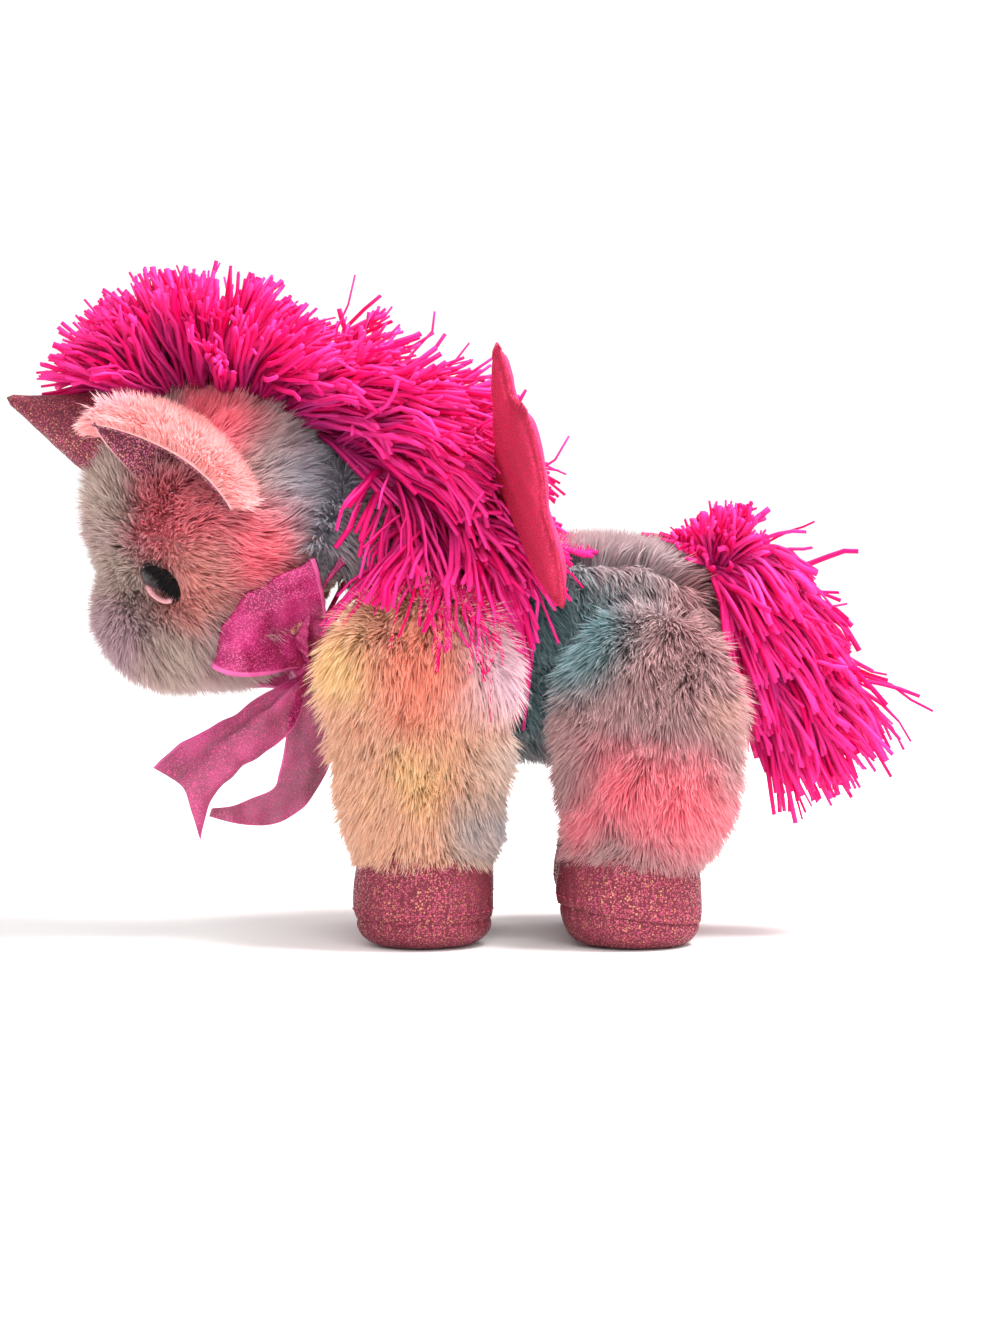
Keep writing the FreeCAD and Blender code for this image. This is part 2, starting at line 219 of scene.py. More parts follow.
def drift(places, size, seed):
    """A smooth random vector at each place, about 1 long, that changes over size metres."""
    rng = np.random.default_rng(seed)
    total = np.zeros_like(places)
    for _ in range(7):
        wave = unit(rng.normal(size=3)) * 2 * math.pi / (size * rng.uniform(0.7, 1.6))
        total += np.sin(places @ wave + rng.uniform(0, 6.28))[:, None] * unit(rng.normal(size=3))
    return total * 0.6


def scattered(skin, count, keep, seed):
    """Even random places on a skin where keep(places) is true, their normals, and the area kept."""
    rng = np.random.default_rng(seed)
    mesh = skin.data
    mesh.calc_loop_triangles()
    corners = np.empty(len(mesh.loop_triangles) * 3, np.int32)
    mesh.loop_triangles.foreach_get("vertices", corners)
    corners = corners.reshape(-1, 3)
    places, normals = vertex_places(mesh), vertex_normals(mesh)
    a, b, c = places[corners[:, 0]], places[corners[:, 1]], places[corners[:, 2]]
    wanted = keep((a + b + c) / 3)
    area = np.linalg.norm(np.cross(b - a, c - a), axis=1) * wanted
    pick = np.searchsorted(np.cumsum(area) / area.sum(), rng.random(count))
    u, v = rng.random(count), rng.random(count)
    over = u + v > 1
    u[over], v[over] = 1 - u[over], 1 - v[over]
    weights = np.stack([1 - u - v, u, v], axis=1)[:, :, None]
    chosen = corners[pick]
    return (places[chosen] * weights).sum(1), unit((normals[chosen] * weights).sum(1)), area.sum()


# One fibre of the pile: a thin blade with a bend half-way, its root at z 0 and its tip at z 1.
BEND = 0.55
bm = bmesh.new()
foot = [bm.verts.new((x, 0, 0)) for x in (-0.5, 0.5)]
shaft = bm.edges.new(foot)
risen = bmesh.ops.extrude_edge_only(bm, edges=[shaft])["geom"]
bmesh.ops.translate(bm, vec=(0, 0, BEND), verts=[g for g in risen if isinstance(g, bmesh.types.BMVert)])
top_edge = next(e for e in bm.edges if all(v.co.z > 0 for v in e.verts))
risen = bmesh.ops.extrude_edge_only(bm, edges=[top_edge])["geom"]
tip = [g for g in risen if isinstance(g, bmesh.types.BMVert)]
bmesh.ops.translate(bm, vec=(0, 0, 1 - BEND), verts=tip)
bmesh.ops.pointmerge(bm, verts=tip, merge_co=(0, 0, 1))
bm.normal_update()
FIBRE = bpy.data.meshes.new("fibre")
bm.to_mesh(FIBRE)
bm.free()


def copies(template, name, places, along):
    """One mesh of many copies of template: places (copies, its vertices, 3) and its UV from along."""
    loops = np.empty(len(template.loops), np.int32)
    template.loops.foreach_get("vertex_index", loops)
    sizes = np.empty(len(template.polygons), np.int32)
    template.polygons.foreach_get("loop_total", sizes)
    number, each = places.shape[:2]
    mesh = bpy.data.meshes.new(name)
    mesh.vertices.add(number * each)
    mesh.vertices.foreach_set("co", places.astype(np.float32).ravel())
    all_loops = (np.arange(number)[:, None] * each + loops).ravel()
    mesh.loops.add(len(all_loops))
    mesh.loops.foreach_set("vertex_index", all_loops.astype(np.int32))
    all_sizes = np.tile(sizes, number)
    mesh.polygons.add(len(all_sizes))
    mesh.polygons.foreach_set("loop_start", (np.cumsum(all_sizes) - all_sizes).astype(np.int32))
    mesh.polygons.foreach_set("loop_total", all_sizes)
    mesh.update(calc_edges=True)
    lay = mesh.uv_layers.new(name="UVMap")
    lay.data.foreach_set("uv", along.reshape(-1, 2)[all_loops].astype(np.float32).ravel())
    mesh.validate()
    mesh.shade_smooth()
    return mesh


def pile(skin, name, count, length, comb, keep, seed, width=0.00052, lean=0.55, clump=0.0017, hold=0.12):
    """Fur on a skin: blades of length(places) combed along comb(places), in loose clumps."""
    root, normal, area = scattered(skin, count, keep, seed)
    rng = np.random.default_rng(seed + 1)
    long = length(root) * rng.uniform(0.72, 1.12, count)
    lay = comb(root) + 0.40 * drift(root, 0.016, seed) + 0.22 * drift(root, 0.006, seed + 5)
    lay += rng.normal(scale=0.24, size=lay.shape)
    lay = lay - normal * (lay * normal).sum(1, keepdims=True)
    lay = unit(lay) * np.minimum(np.linalg.norm(lay, axis=1, keepdims=True), 1.3)
    start = unit(normal + lean * 0.75 * lay)
    end = unit(normal + lean * 1.45 * lay + np.array([0, 0, -0.18]))
    middle = root + start * (long * BEND)[:, None]
    tip = middle + end * (long * (1 - BEND))[:, None]
    clumps = max(int(area / clump**2), 8)
    leaders = rng.choice(count, min(clumps, count), replace=False)
    tree = KDTree(len(leaders))
    for i, k in enumerate(leaders):
        tree.insert(root[k], i)
    tree.balance()
    leader = leaders[[tree.find(p)[1] for p in root]]
    pull = hold * rng.uniform(0.5, 1.1, count)[:, None]
    tip += (tip[leader] - tip) * pull
    middle += (middle[leader] - middle) * pull * 0.45
    side = unit(np.cross(normal, tip - root) + rng.normal(scale=0.35, size=root.shape))
    half = (width * rng.uniform(0.7, 1.25, count))[:, None] * side * 0.5
    places = np.stack([root - half, root + half, middle - half * 0.9, middle + half * 0.9, tip], axis=1)
    template = vertex_places(FIBRE)
    corners = [(-0.5, 0, 0), (0.5, 0, 0), (-0.5, 0, BEND), (0.5, 0, BEND), (0, 0, 1)]
    order = [int(np.argmin(np.linalg.norm(np.array(corner) - template, axis=1))) for corner in corners]
    sorted_places = np.empty_like(places)
    sorted_places[:, order] = places
    along = np.empty((count, 5, 2))
    along[:, :, 0] = rng.random(count)[:, None]
    along[:, :, 1] = template[:, 2]
    return link(copies(FIBRE, name, sorted_places, along), name)


def group_sockets(group, inputs, outputs):
    for name, kind, value in inputs:
        socket = group.interface.new_socket(name=name, in_out="INPUT", socket_type=kind)
        if value is not None:
            socket.default_value = value
    for name, kind in outputs:
        group.interface.new_socket(name=name, in_out="OUTPUT", socket_type=kind)
    return group.nodes.new("NodeGroupInput"), group.nodes.new("NodeGroupOutput")


# Where the dye has run: the place on the piece, pushed about so that patches have ragged edges.
dye_run = bpy.data.node_groups.new("dye run", "ShaderNodeTree")
ins, outs = group_sockets(
    dye_run,
    [("Scale", "NodeSocketFloat", 34.0), ("Reach", "NodeSocketFloat", 0.02)],
    [("Place", "NodeSocketVector")],
)
spot_coords = made(dye_run.nodes, "TexCoord")
wander = made(dye_run.nodes, "TexNoise", {"Detail": 2.0})
centred = made(dye_run.nodes, "VectorMath", {1: (0.5, 0.5, 0.5)}, operation="SUBTRACT")
reach = made(dye_run.nodes, "VectorMath", operation="SCALE")
moved = made(dye_run.nodes, "VectorMath", operation="ADD")
flat = made(dye_run.nodes, "VectorMath", {1: (1.0, 0.25, 1.0)}, operation="MULTIPLY")
wire(dye_run.links, [
    (spot_coords, "Object", wander, "Vector"), (ins, "Scale", wander, "Scale"),
    (wander, "Color", centred, 0), (centred, 0, reach, 0), (ins, "Reach", reach, "Scale"),
    (spot_coords, "Object", moved, 0), (reach, 0, moved, 1), (moved, 0, flat, 0),
    (flat, 0, outs, "Place"),
])

# One soft-edged patch of dye over the colour under it.
dye_patch = bpy.data.node_groups.new("dye patch", "ShaderNodeTree")
ins, outs = group_sockets(
    dye_patch,
    [("Under", "NodeSocketColor", None), ("Dye", "NodeSocketColor", None),
     ("Place", "NodeSocketVector", None), ("Centre", "NodeSocketVector", None),
     ("Radius", "NodeSocketFloat", 0.02)],
    [("Color", "NodeSocketColor")],
)
away = made(dye_patch.nodes, "VectorMath", operation="DISTANCE")
core = made(dye_patch.nodes, "Math", {1: 0.35}, operation="MULTIPLY")
fade = made(dye_patch.nodes, "MapRange", interpolation_type="SMOOTHSTEP")
soak = made(dye_patch.nodes, "Mix", data_type="RGBA")
wire(dye_patch.links, [
    (ins, "Place", away, 0), (ins, "Centre", away, 1), (ins, "Radius", core, 0),
    (away, "Value", fade, "Value"), (ins, "Radius", fade, "From Min"), (core, 0, fade, "From Max"),
    (fade, "Result", soak, "Factor"), (ins, "Under", soak, 6), (ins, "Dye", soak, 7),
    (soak, 2, outs, "Color"),
])


def fur_material(name, ground, patches, glow=0.45):
    """Dyed pile: patches are (colour, x, z, radius), painted one over another on the ground colour."""
    mat, nodes, links = new_material(name)
    shader, out = nodes["Principled BSDF"], nodes["Material Output"]
    run = made(nodes, "Group", node_tree=dye_run)
    under = None
    for colour, x, z, radius in patches:
        patch = made(
            nodes, "Group", {"Dye": (*colour, 1), "Centre": (x, 0, z), "Radius": radius},
            node_tree=dye_patch,
        )
        links.new(run.outputs["Place"], patch.inputs["Place"])
        if under is None:
            patch.inputs["Under"].default_value = (*ground, 1)
        else:
            links.new(under, patch.inputs["Under"])
        under = patch.outputs["Color"]
    fibre = made(nodes, "UVMap", uv_map="UVMap")
    split = made(nodes, "SeparateXYZ")
    # Painted shade: each blade is darkened towards its root, where the pile shades itself. single gives each
    # blade its own random brightness, and shade is the two together.
    depth = made(nodes, "MapRange", {"To Min": 0.90, "To Max": 1.0})
    single = made(nodes, "MapRange", {"To Min": 0.92, "To Max": 1.08})
    shade = made(nodes, "Math", operation="MULTIPLY")
    dye_shade_and_highlight = made(nodes, "VectorMath", operation="SCALE")
    wire(links, [
        (fibre, "UV", split, 0), (split, "Y", depth, "Value"), (split, "X", single, "Value"),
        (depth, 0, shade, 0), (single, 0, shade, 1),
    ])
    # Painted highlight: each blade is paled towards its tip, where the outer pile catches the light. The
    # blade's colour is the dye, this painted highlight and the painted root shade together.
    tip_highlight = made(nodes, "MapRange", {"From Min": 0.35, "To Max": 0.26})
    tipped = made(nodes, "Mix", {7: (0.96, 0.86, 0.84, 1)}, data_type="RGBA")
    wire(links, [(split, "Y", tip_highlight, "Value"), (tip_highlight, 0, tipped, "Factor")])
    links.new(under, tipped.inputs[6])
    wire(links, [(tipped, 2, dye_shade_and_highlight, 0), (shade, 0, dye_shade_and_highlight, "Scale"), (dye_shade_and_highlight, 0, shader, "Base Color")])
    shader.inputs["Roughness"].default_value = 0.75
    shader.inputs["Specular IOR Level"].default_value = 0.25
    shader.inputs["Sheen Weight"].default_value = 0.15
    shader.inputs["Sheen Roughness"].default_value = 0.5
    through = made(nodes, "BsdfTranslucent")
    links.new(dye_shade_and_highlight.outputs[0], through.inputs["Color"])
    both = made(nodes, "MixShader", {0: glow})
    wire(links, [(shader, 0, both, 1), (through, 0, both, 2), (both, 0, out, "Surface")])
    return mat


TEAL = (0.15, 0.36, 0.39)
ROSE_GREY = (0.52, 0.43, 0.45)
DUSK_ROSE = (0.52, 0.28, 0.30)
PEACH = (1.00, 0.44, 0.30)
fur_dyes = fur_material(
    "torso_dye", (0.50, 0.40, 0.42),
    [(TEAL, 0.036, 0.084, 0.034), (TEAL, 0.022, 0.070, 0.026), (ROSE_GREY, 0.052, 0.114, 0.026),
     (DUSK_ROSE, 0.074, 0.092, 0.022), (PEACH, -0.030, 0.085, 0.030)],
)


def bare(obj):
    """Gives a skin the UV map its fur material reads, as though it were pile seen near its tips, so that it
    takes a little of the painted root shade and part of the painted tip highlight.
    """
    lay = obj.data.uv_layers.new(name="UVMap")
    lay.data.foreach_set("uv", np.tile(np.array([0.5, 0.75], np.float32), len(obj.data.loops)))


def inside(places, centre, radii):
    return (((places - np.array(centre)) / np.array(radii)) ** 2).sum(1) < 1


PILE_LENGTH = 0.0105

torso_skin = cushion("torso_stuffing", "torso_skin", 0.0062)
torso_skin.data.materials.append(fur_dyes)
bare(torso_skin)


def torso_keep(p):
    """Where the torso shows: not under the legs sewn to its sides, nor where the neck joins."""
    beside = np.abs(p[:, 1]) > 0.0135
    front = inside(p * [1, 0, 1], (-0.007, 0, 0.076), (0.0285, 1, 0.0265))
    hind = inside(p * [1, 0, 1], (0.057, 0, 0.066), (0.0255, 1, 0.031))
    chest = (p[:, 0] < -0.012) & (p[:, 2] > 0.090)
    return ~(beside & (front | hind)) & ~chest


torso_fur = pile(
    torso_skin, "torso_fur", 60000, lambda p: np.full(len(p), PILE_LENGTH),
    lambda p: np.tile([0.45, 0, -0.6], (len(p), 1)), torso_keep, 11,
)
torso_fur.data.materials.append(fur_dyes)
for piece in (torso_skin, torso_fur):
    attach(piece, "torso")
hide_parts("torso_cover", "torso_stuffing")

# ---- Legs and hooves ----------------------------------------------------------------------------
# Each leg is its own furred bag, sewn flat against the torso's side, and ends in a hoof of stretchy
# foil-dot cloth: an upper and a sole joined by a stitched seam that pulls the cloth into puckers.


def leg_combing(p):
    return np.tile([-0.1, 0, -1.0], (len(p), 1))


def leg_length(p):
    """Full pile on the leg, a little shorter just above the hoof."""
    return PILE_LENGTH * np.clip(0.75 + (p[:, 2] - 0.026) * 18, 0.75, 1)


STRAW = (1.00, 0.80, 0.40)
STRAW_ROSE = (0.82, 0.48, 0.34)
CREAM = (1.00, 0.68, 0.46)
LILAC_WHITE = (0.96, 0.76, 0.84)
CORAL = (0.98, 0.22, 0.33)
ASH_ROSE = (0.72, 0.60, 0.54)
DOVE = (0.42, 0.43, 0.50)
fur_looks = {
    "front": fur_material(
        "front_leg_dye", (0.88, 0.58, 0.40),
        [(STRAW, -0.030, 0.078, 0.018), (PEACH, -0.006, 0.080, 0.026), (LILAC_WHITE, 0.020, 0.079, 0.028),
         (CREAM, 0.000, 0.062, 0.016), (STRAW, -0.006, 0.050, 0.018), (PEACH, -0.024, 0.062, 0.012),
         (ASH_ROSE, 0.018, 0.050, 0.018), (STRAW, -0.020, 0.040, 0.012), (DOVE, 0.010, 0.034, 0.018)],
    ),
    "hind": fur_material(
        "hind_leg_dye", (0.56, 0.32, 0.33),
        [(TEAL, 0.036, 0.088, 0.028), (ROSE_GREY, 0.060, 0.096, 0.018), (DUSK_ROSE, 0.072, 0.082, 0.020),
         (STRAW_ROSE, 0.076, 0.064, 0.014), (DUSK_ROSE, 0.054, 0.066, 0.014), (CORAL, 0.050, 0.046, 0.022),
         (CORAL, 0.066, 0.040, 0.024), (CORAL, 0.040, 0.034, 0.016)],
    ),
}

# Foil-dot cloth: round metal dots in a mesh of dyed cloth, each dot tipped its own way.
foil_dots = bpy.data.node_groups.new("foil dots", "ShaderNodeTree")
ins, outs = group_sockets(
    foil_dots,
    [("Dot size", "NodeSocketFloat", 1700.0), ("Cloth", "NodeSocketColor", None),
     ("Foil", "NodeSocketColor", None), ("Tip", "NodeSocketFloat", 0.5),
     ("Colours", "NodeSocketFloat", 0.25)],
    [("Color", "NodeSocketColor"), ("Dots", "NodeSocketFloat"), ("Normal", "NodeSocketVector")],
)
g_nodes, g_links = foil_dots.nodes, foil_dots.links
coords = made(g_nodes, "TexCoord")
cell = made(g_nodes, "TexVoronoi", {"Randomness": 0.8})
dot = made(g_nodes, "MapRange", {"From Min": 0.50, "From Max": 0.36})
hue = two_tone(g_nodes, (1.0, 0.32, 0.10), (0.90, 0.80, 0.20))
hue.color_ramp.interpolation = "EASE"
parts = made(g_nodes, "SeparateColor")
rare = made(g_nodes, "MapRange", {"From Min": 0.62, "From Max": 0.98})
much = made(g_nodes, "Math", operation="MULTIPLY")
tinted = made(g_nodes, "Mix", data_type="RGBA")
spots = made(g_nodes, "Mix", data_type="RGBA")
surface = made(g_nodes, "NewGeometry")
middle = made(g_nodes, "VectorMath", {1: (0.5, 0.5, 0.5)}, operation="SUBTRACT")
tipped = made(g_nodes, "VectorMath", operation="SCALE")
only = made(g_nodes, "Math", operation="MULTIPLY")
added = made(g_nodes, "VectorMath", operation="ADD")
whole = made(g_nodes, "VectorMath", operation="NORMALIZE")
wire(g_links, [
    (coords, "Object", cell, "Vector"), (ins, "Dot size", cell, "Scale"),
    (cell, "Distance", dot, "Value"), (cell, "Color", parts, 0), (parts, 0, hue, "Fac"),
    (parts, 1, rare, "Value"), (rare, 0, much, 0), (ins, "Colours", much, 1),
    (much, 0, tinted, "Factor"), (ins, "Foil", tinted, 6), (hue, "Color", tinted, 7),
    (dot, 0, spots, "Factor"), (ins, "Cloth", spots, 6), (tinted, 2, spots, 7),
    (spots, 2, outs, "Color"), (dot, 0, outs, "Dots"), (cell, "Color", middle, 0), (dot, 0, only, 0),
    (ins, "Tip", only, 1), (middle, 0, tipped, 0), (only, 0, tipped, "Scale"), (tipped, 0, added, 0),
    (surface, "Normal", added, 1), (added, 0, whole, 0), (whole, 0, outs, "Normal"),
])


def foil_material(name, cloth, foil, tip=0.55, colours=0.6, size=1700.0):
    mat, nodes, links = new_material(name)
    shader = nodes["Principled BSDF"]
    dots = made(
        nodes, "Group",
        {"Cloth": (*cloth, 1), "Foil": (*foil, 1), "Tip": tip, "Colours": colours, "Dot size": size},
        node_tree=foil_dots,
    )
    metal = made(nodes, "Math", {1: 0.75}, operation="MULTIPLY")
    rough = made(nodes, "MapRange", {"To Min": 0.8, "To Max": 0.34})
    wire(links, [
        (dots, "Color", shader, "Base Color"), (dots, "Dots", metal, 0), (metal, 0, shader, "Metallic"),
        (dots, "Dots", rough, "Value"), (rough, 0, shader, "Roughness"),
        (dots, "Normal", shader, "Normal"),
    ])
    return mat


hoof_cloth = foil_material("hoof_foil_dots", (0.12, 0.007, 0.020), (0.38, 0.060, 0.115), colours=0.30)

thread = mottled(
    "sewing_thread", 900.0, (0.30, 0.02, 0.07), (0.50, 0.05, 0.13), 0.6,
    bump=(0.4, 0.0002), pattern="TexWave",
)


def stitches(name, line, length, radius, gap_share=0.45):
    """Short thread stitches laid end to end along a list of points, each sunk a little at its ends."""
    bm = bmesh.new()
    bmesh.ops.create_icosphere(bm, subdivisions=1, radius=1.0)
    one = bpy.data.meshes.new("stitch")
    bm.to_mesh(one)
    bm.free()
    line = np.array(line, float)
    steps = np.linalg.norm(np.diff(line, axis=0), axis=1)
    run = np.concatenate([[0], np.cumsum(steps)])
    at = np.arange(length * 0.5, run[-1], length)
    ball = vertex_places(one)
    balls = []
    for s in at:
        centre = np.array([np.interp(s, run, line[:, i]) for i in range(3)])
        ahead = np.array([np.interp(s + 1e-4, run, line[:, i]) for i in range(3)])
        along = unit(ahead - centre)
        side = unit(np.cross(along, [0.1, 0.2, 1.0]))
        up = np.cross(along, side)
        balls.append(
            centre + ball[:, :1] * along * length * (1 - gap_share) / 2
            + ball[:, 1:2] * side * radius + ball[:, 2:] * up * radius
        )
    balls = np.array(balls)
    obj = link(copies(one, name, balls, np.zeros((*balls.shape[:2], 2))), name)
    obj.data.materials.append(thread)
    return obj


def hoof_shell(name, centre, radii, line, seam, rise):
    """Spins the profile line of (share of radius, height) into one shell, puckered next to the seam."""
    bm = bmesh.new()
    verts = [bm.verts.new((share, 0, height)) for share, height in line]
    edges = [bm.edges.new(pair) for pair in zip(verts, verts[1:])]
    bmesh.ops.spin(
        bm, geom=verts + edges, cent=(0, 0, 0), axis=(0, 0, 1), angle=2 * math.pi, steps=120, use_merge=True,
    )
    bmesh.ops.remove_doubles(bm, verts=bm.verts, dist=1e-6)
    for v in bm.verts:
        share, angle = math.hypot(v.co.x, v.co.y), math.atan2(v.co.y, v.co.x)
        near = math.exp(-(((v.co.z - seam) / 0.0045) ** 2))
        fold = 1 + 0.011 * near * (math.sin(angle * 29 + 1.3) + math.sin(angle * 41))
        sag = 1 + 0.012 * math.sin(angle * 3 + 0.6) + 0.010 * math.sin(angle * 7 + v.co.z * 300)
        height = v.co.z - rise * math.cos(angle) * share * max(0.0, 1 - abs(v.co.z - seam) / 0.012)
        v.co = Vector((
            centre[0] + radii[0] * share * math.cos(angle) * fold * sag,
            centre[1] + radii[1] * share * math.sin(angle) * fold * sag,
            height,
        ))
    bmesh.ops.recalc_face_normals(bm, faces=bm.faces)
    obj = built(bm, name)
    fine = obj.modifiers.new("fine", "SUBSURF")
    fine.levels = fine.render_levels = 1
    obj.data.materials.append(hoof_cloth)
    return obj


SKIN_DEPTH = 0.0030
HOOF_OUT = 0.023
# For each pair of legs: the hoof's middle in x, its radii, how far its seam rises at the back, the
# seam's height, and the torso's round side, (x, z, radius in x, radius in z), which hides pile.
LEG_PAIRS = {
    "front": (-0.0063, (0.0200, 0.0184), 0.0, 0.0078, (-0.007, 0.084, 0.032, 0.030)),
    "hind": (0.0520, (0.0208, 0.0184), 0.0030, 0.0095, (0.050, 0.083, 0.034, 0.031)),
}
for end, (at, radii, rise, seam, beside) in LEG_PAIRS.items():
    upper_line = [
        (0.70, 0.0335), (0.82, 0.0315), (0.90, 0.0275), (0.97, 0.0215),
        (1.0, 0.0155), (0.995, 0.0115), (0.965, 0.0088), (0.94, seam),
    ]
    sole_line = [
        (0.925, seam), (0.955, seam - 0.0012), (0.93, seam - 0.0038),
        (0.84, 0.0018), (0.70, 0.0003), (0.45, 0.0), (0.0, 0.0),
    ]
    for side, flip in (("left", -1), ("right", 1)):
        leg = f"{end}_{side}"
        body = f"{end}_leg_{side}"
        skin = cushion(f"{leg}_stuffing", f"{leg}_skin", SKIN_DEPTH)
        skin.data.materials.append(fur_looks[end])
        bare(skin)
        middle = (at, flip * HOOF_OUT)

        def leg_keep(p, beside=beside):
            hidden = (np.abs(p[:, 1]) < 0.0305) & (p[:, 2] > 0.056)
            hidden &= inside(p * [1, 0, 1], (beside[0], 0, beside[1]), (beside[2], 1, beside[3]))
            return (p[:, 2] > 0.0262) & ~hidden

        coat = pile(
            skin, f"{leg}_fur", 46000, leg_length, leg_combing, leg_keep, 31 + len(leg) + 7 * flip,
        )
        coat.data.materials.append(fur_looks[end])
        upper = hoof_shell(f"{leg}_upper", middle, radii, upper_line, seam, rise)
        sole = hoof_shell(f"{leg}_sole_pad", middle, radii, sole_line, seam, rise)
        ring = []
        for i in range(241):
            turn = 2 * math.pi * i / 240
            ring.append((
                middle[0] + radii[0] * 0.992 * math.cos(turn),
                middle[1] + radii[1] * 0.992 * math.sin(turn),
                seam + 0.0026 - rise * math.cos(turn) * 0.9,
            ))
        thread_line = stitches(f"{leg}_seam_stitches", ring, 0.0031, 0.00028)
        dressed = (
            (skin, "fur"), (coat, "fur"),
            (upper, "glitter_cloth"), (sole, "glitter_cloth"), (thread_line, "glitter_cloth"),
        )
        for piece, slot in dressed:
            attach(piece, body)
        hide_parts(f"{leg}_cover", f"{leg}_stuffing")
        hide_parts(f"{leg}_hoof")
        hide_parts(f"{leg}_sole")

# ---- Neck ---------------------------------------------------------------------------------------
# A short stuffed tube of the same fur joins the chest to the head. It bends at both seams.

neck_dyes = fur_material(
    "neck_dye", (0.36, 0.33, 0.36),
    [(DOVE, -0.036, 0.128, 0.030), (CREAM, -0.036, 0.088, 0.020), (CORAL, -0.060, 0.160, 0.02)],
)
neck_skin = cushion("neck_stuffing", "neck_skin", -0.0018)
neck_skin.data.materials.append(neck_dyes)
bare(neck_skin)


def neck_keep(p):
    """Where the neck shows between the chest's pile and the head's."""
    chest = inside(p * [1, 0, 1], (-0.007, 0, 0.084), (0.0315, 1, 0.0315))
    skull = inside(p, (-0.067, 0, 0.122), (0.0355, 0.0355, 0.0355))
    return ~chest & ~skull


def neck_length(p):
    """Full pile, pressed short where the ribbon's knot is tied against it."""
    by_bow = (p[:, 0] < -0.030) & (p[:, 2] < 0.112)
    return np.where(by_bow, 0.0028, PILE_LENGTH)


neck_fur = pile(
    neck_skin, "neck_fur", 30000, neck_length,
    lambda p: np.tile([0.5, 0, -0.8], (len(p), 1)), neck_keep, 51,
)
neck_fur.data.materials.append(neck_dyes)
for piece in (neck_skin, neck_fur):
    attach(piece, "neck")
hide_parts("neck_cover", "neck_stuffing")

# ---- Head ---------------------------------------------------------------------------------------
# The head is a round stuffed bag with a soft muzzle. Its pile is trimmed short about the eyes and
# the muzzle and grows away from the nose.

EYE = np.array([-0.0815, -0.0270, 0.1050])
FACE_TRIM = 0.0048
ROSE = (0.90, 0.24, 0.32)
PEACH_ROSE = (0.86, 0.42, 0.38)
MOSS = (0.62, 0.49, 0.43)
MAUVE = (0.56, 0.38, 0.43)


def on_eye_side(p):
    """The same places with those of the far half mirrored over, so that one eye serves for two."""
    return np.stack([p[:, 0], -np.abs(p[:, 1]), p[:, 2]], axis=1)


def near_face(p):
    """1 on the trimmed face round the eyes and muzzle, falling to 0 on the full pile."""
    eye = 1 - np.linalg.norm(on_eye_side(p) - EYE, axis=1) / 0.022
    muzzle = 1 - np.linalg.norm((p - [-0.092, 0, 0.098]) / [0.024, 0.030, 0.030], axis=1)
    return np.clip(np.maximum(eye, muzzle) * 1.8, 0, 1)


head_skin = cushion("head_stuffing", "head_skin", 0.0)
face_share = near_face(vertex_places(head_skin.data))
move_along_normals(head_skin, -(SKIN_DEPTH - 0.0024 * face_share))
head_dyes = fur_material(
    "head_dye", (0.58, 0.41, 0.40),
    [(DOVE, -0.030, 0.132, 0.028), (CORAL, -0.050, 0.110, 0.022), (ROSE, -0.072, 0.122, 0.026),
     (PEACH_ROSE, -0.070, 0.103, 0.020), (CORAL, -0.064, 0.152, 0.020), (MOSS, -0.098, 0.130, 0.018),
     (MOSS, -0.094, 0.106, 0.014), (MAUVE, -0.094, 0.086, 0.014), (MOSS, -0.076, 0.082, 0.014)],
)
head_skin.data.materials.append(head_dyes)
bare(head_skin)


def head_keep(p):
    """No pile through the eyes, under the horn or inside the neck."""
    eye = np.linalg.norm(on_eye_side(p) - EYE - [0.0024, 0, -0.0020], axis=1) < 0.0040
    horn = (np.linalg.norm(p[:, 1:] - [0, 0.1505], axis=1) < 0.0125) & (p[:, 0] < -0.085)
    in_neck = inside(p, (-0.030, 0, 0.108), (0.022, 0.020, 0.020))
    return ~eye & ~horn & ~in_neck


def head_combing(p):
    away = p - np.array([-0.104, 0, 0.100])
    return unit(away) * 0.8 + np.array([0.25, 0, 0.1])


head_fur = pile(
    head_skin, "head_fur", 64000, lambda p: PILE_LENGTH - FACE_TRIM * near_face(p),
    head_combing, head_keep, 71, width=0.00048, clump=0.0019, hold=0.16,
)
head_fur.data.materials.append(head_dyes)
for piece in (head_skin, head_fur):
    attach(piece, "head")
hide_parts("head_cover", "head_stuffing")

# ---- Eyes ---------------------------------------------------------------------------------------
# A glossy plastic dome on a shank, locked inside by a washer. Black plush lashes lie over it, and a
# rolled rim of pink cloth sits under it.

eye_gloss = mottled("eye_plastic", 260.0, (0.006, 0.004, 0.006), (0.030, 0.018, 0.022), 0.30, specular=0.3)
rim_cloth = fur_material("eye_rim_cloth", (0.62, 0.22, 0.26), [(ROSE, -0.080, 0.106, 0.01)], glow=0.15)
lash_plush = mottled("lash_plush", 900.0, (0.004, 0.004, 0.005), (0.022, 0.020, 0.022), 0.8, specular=0.2)

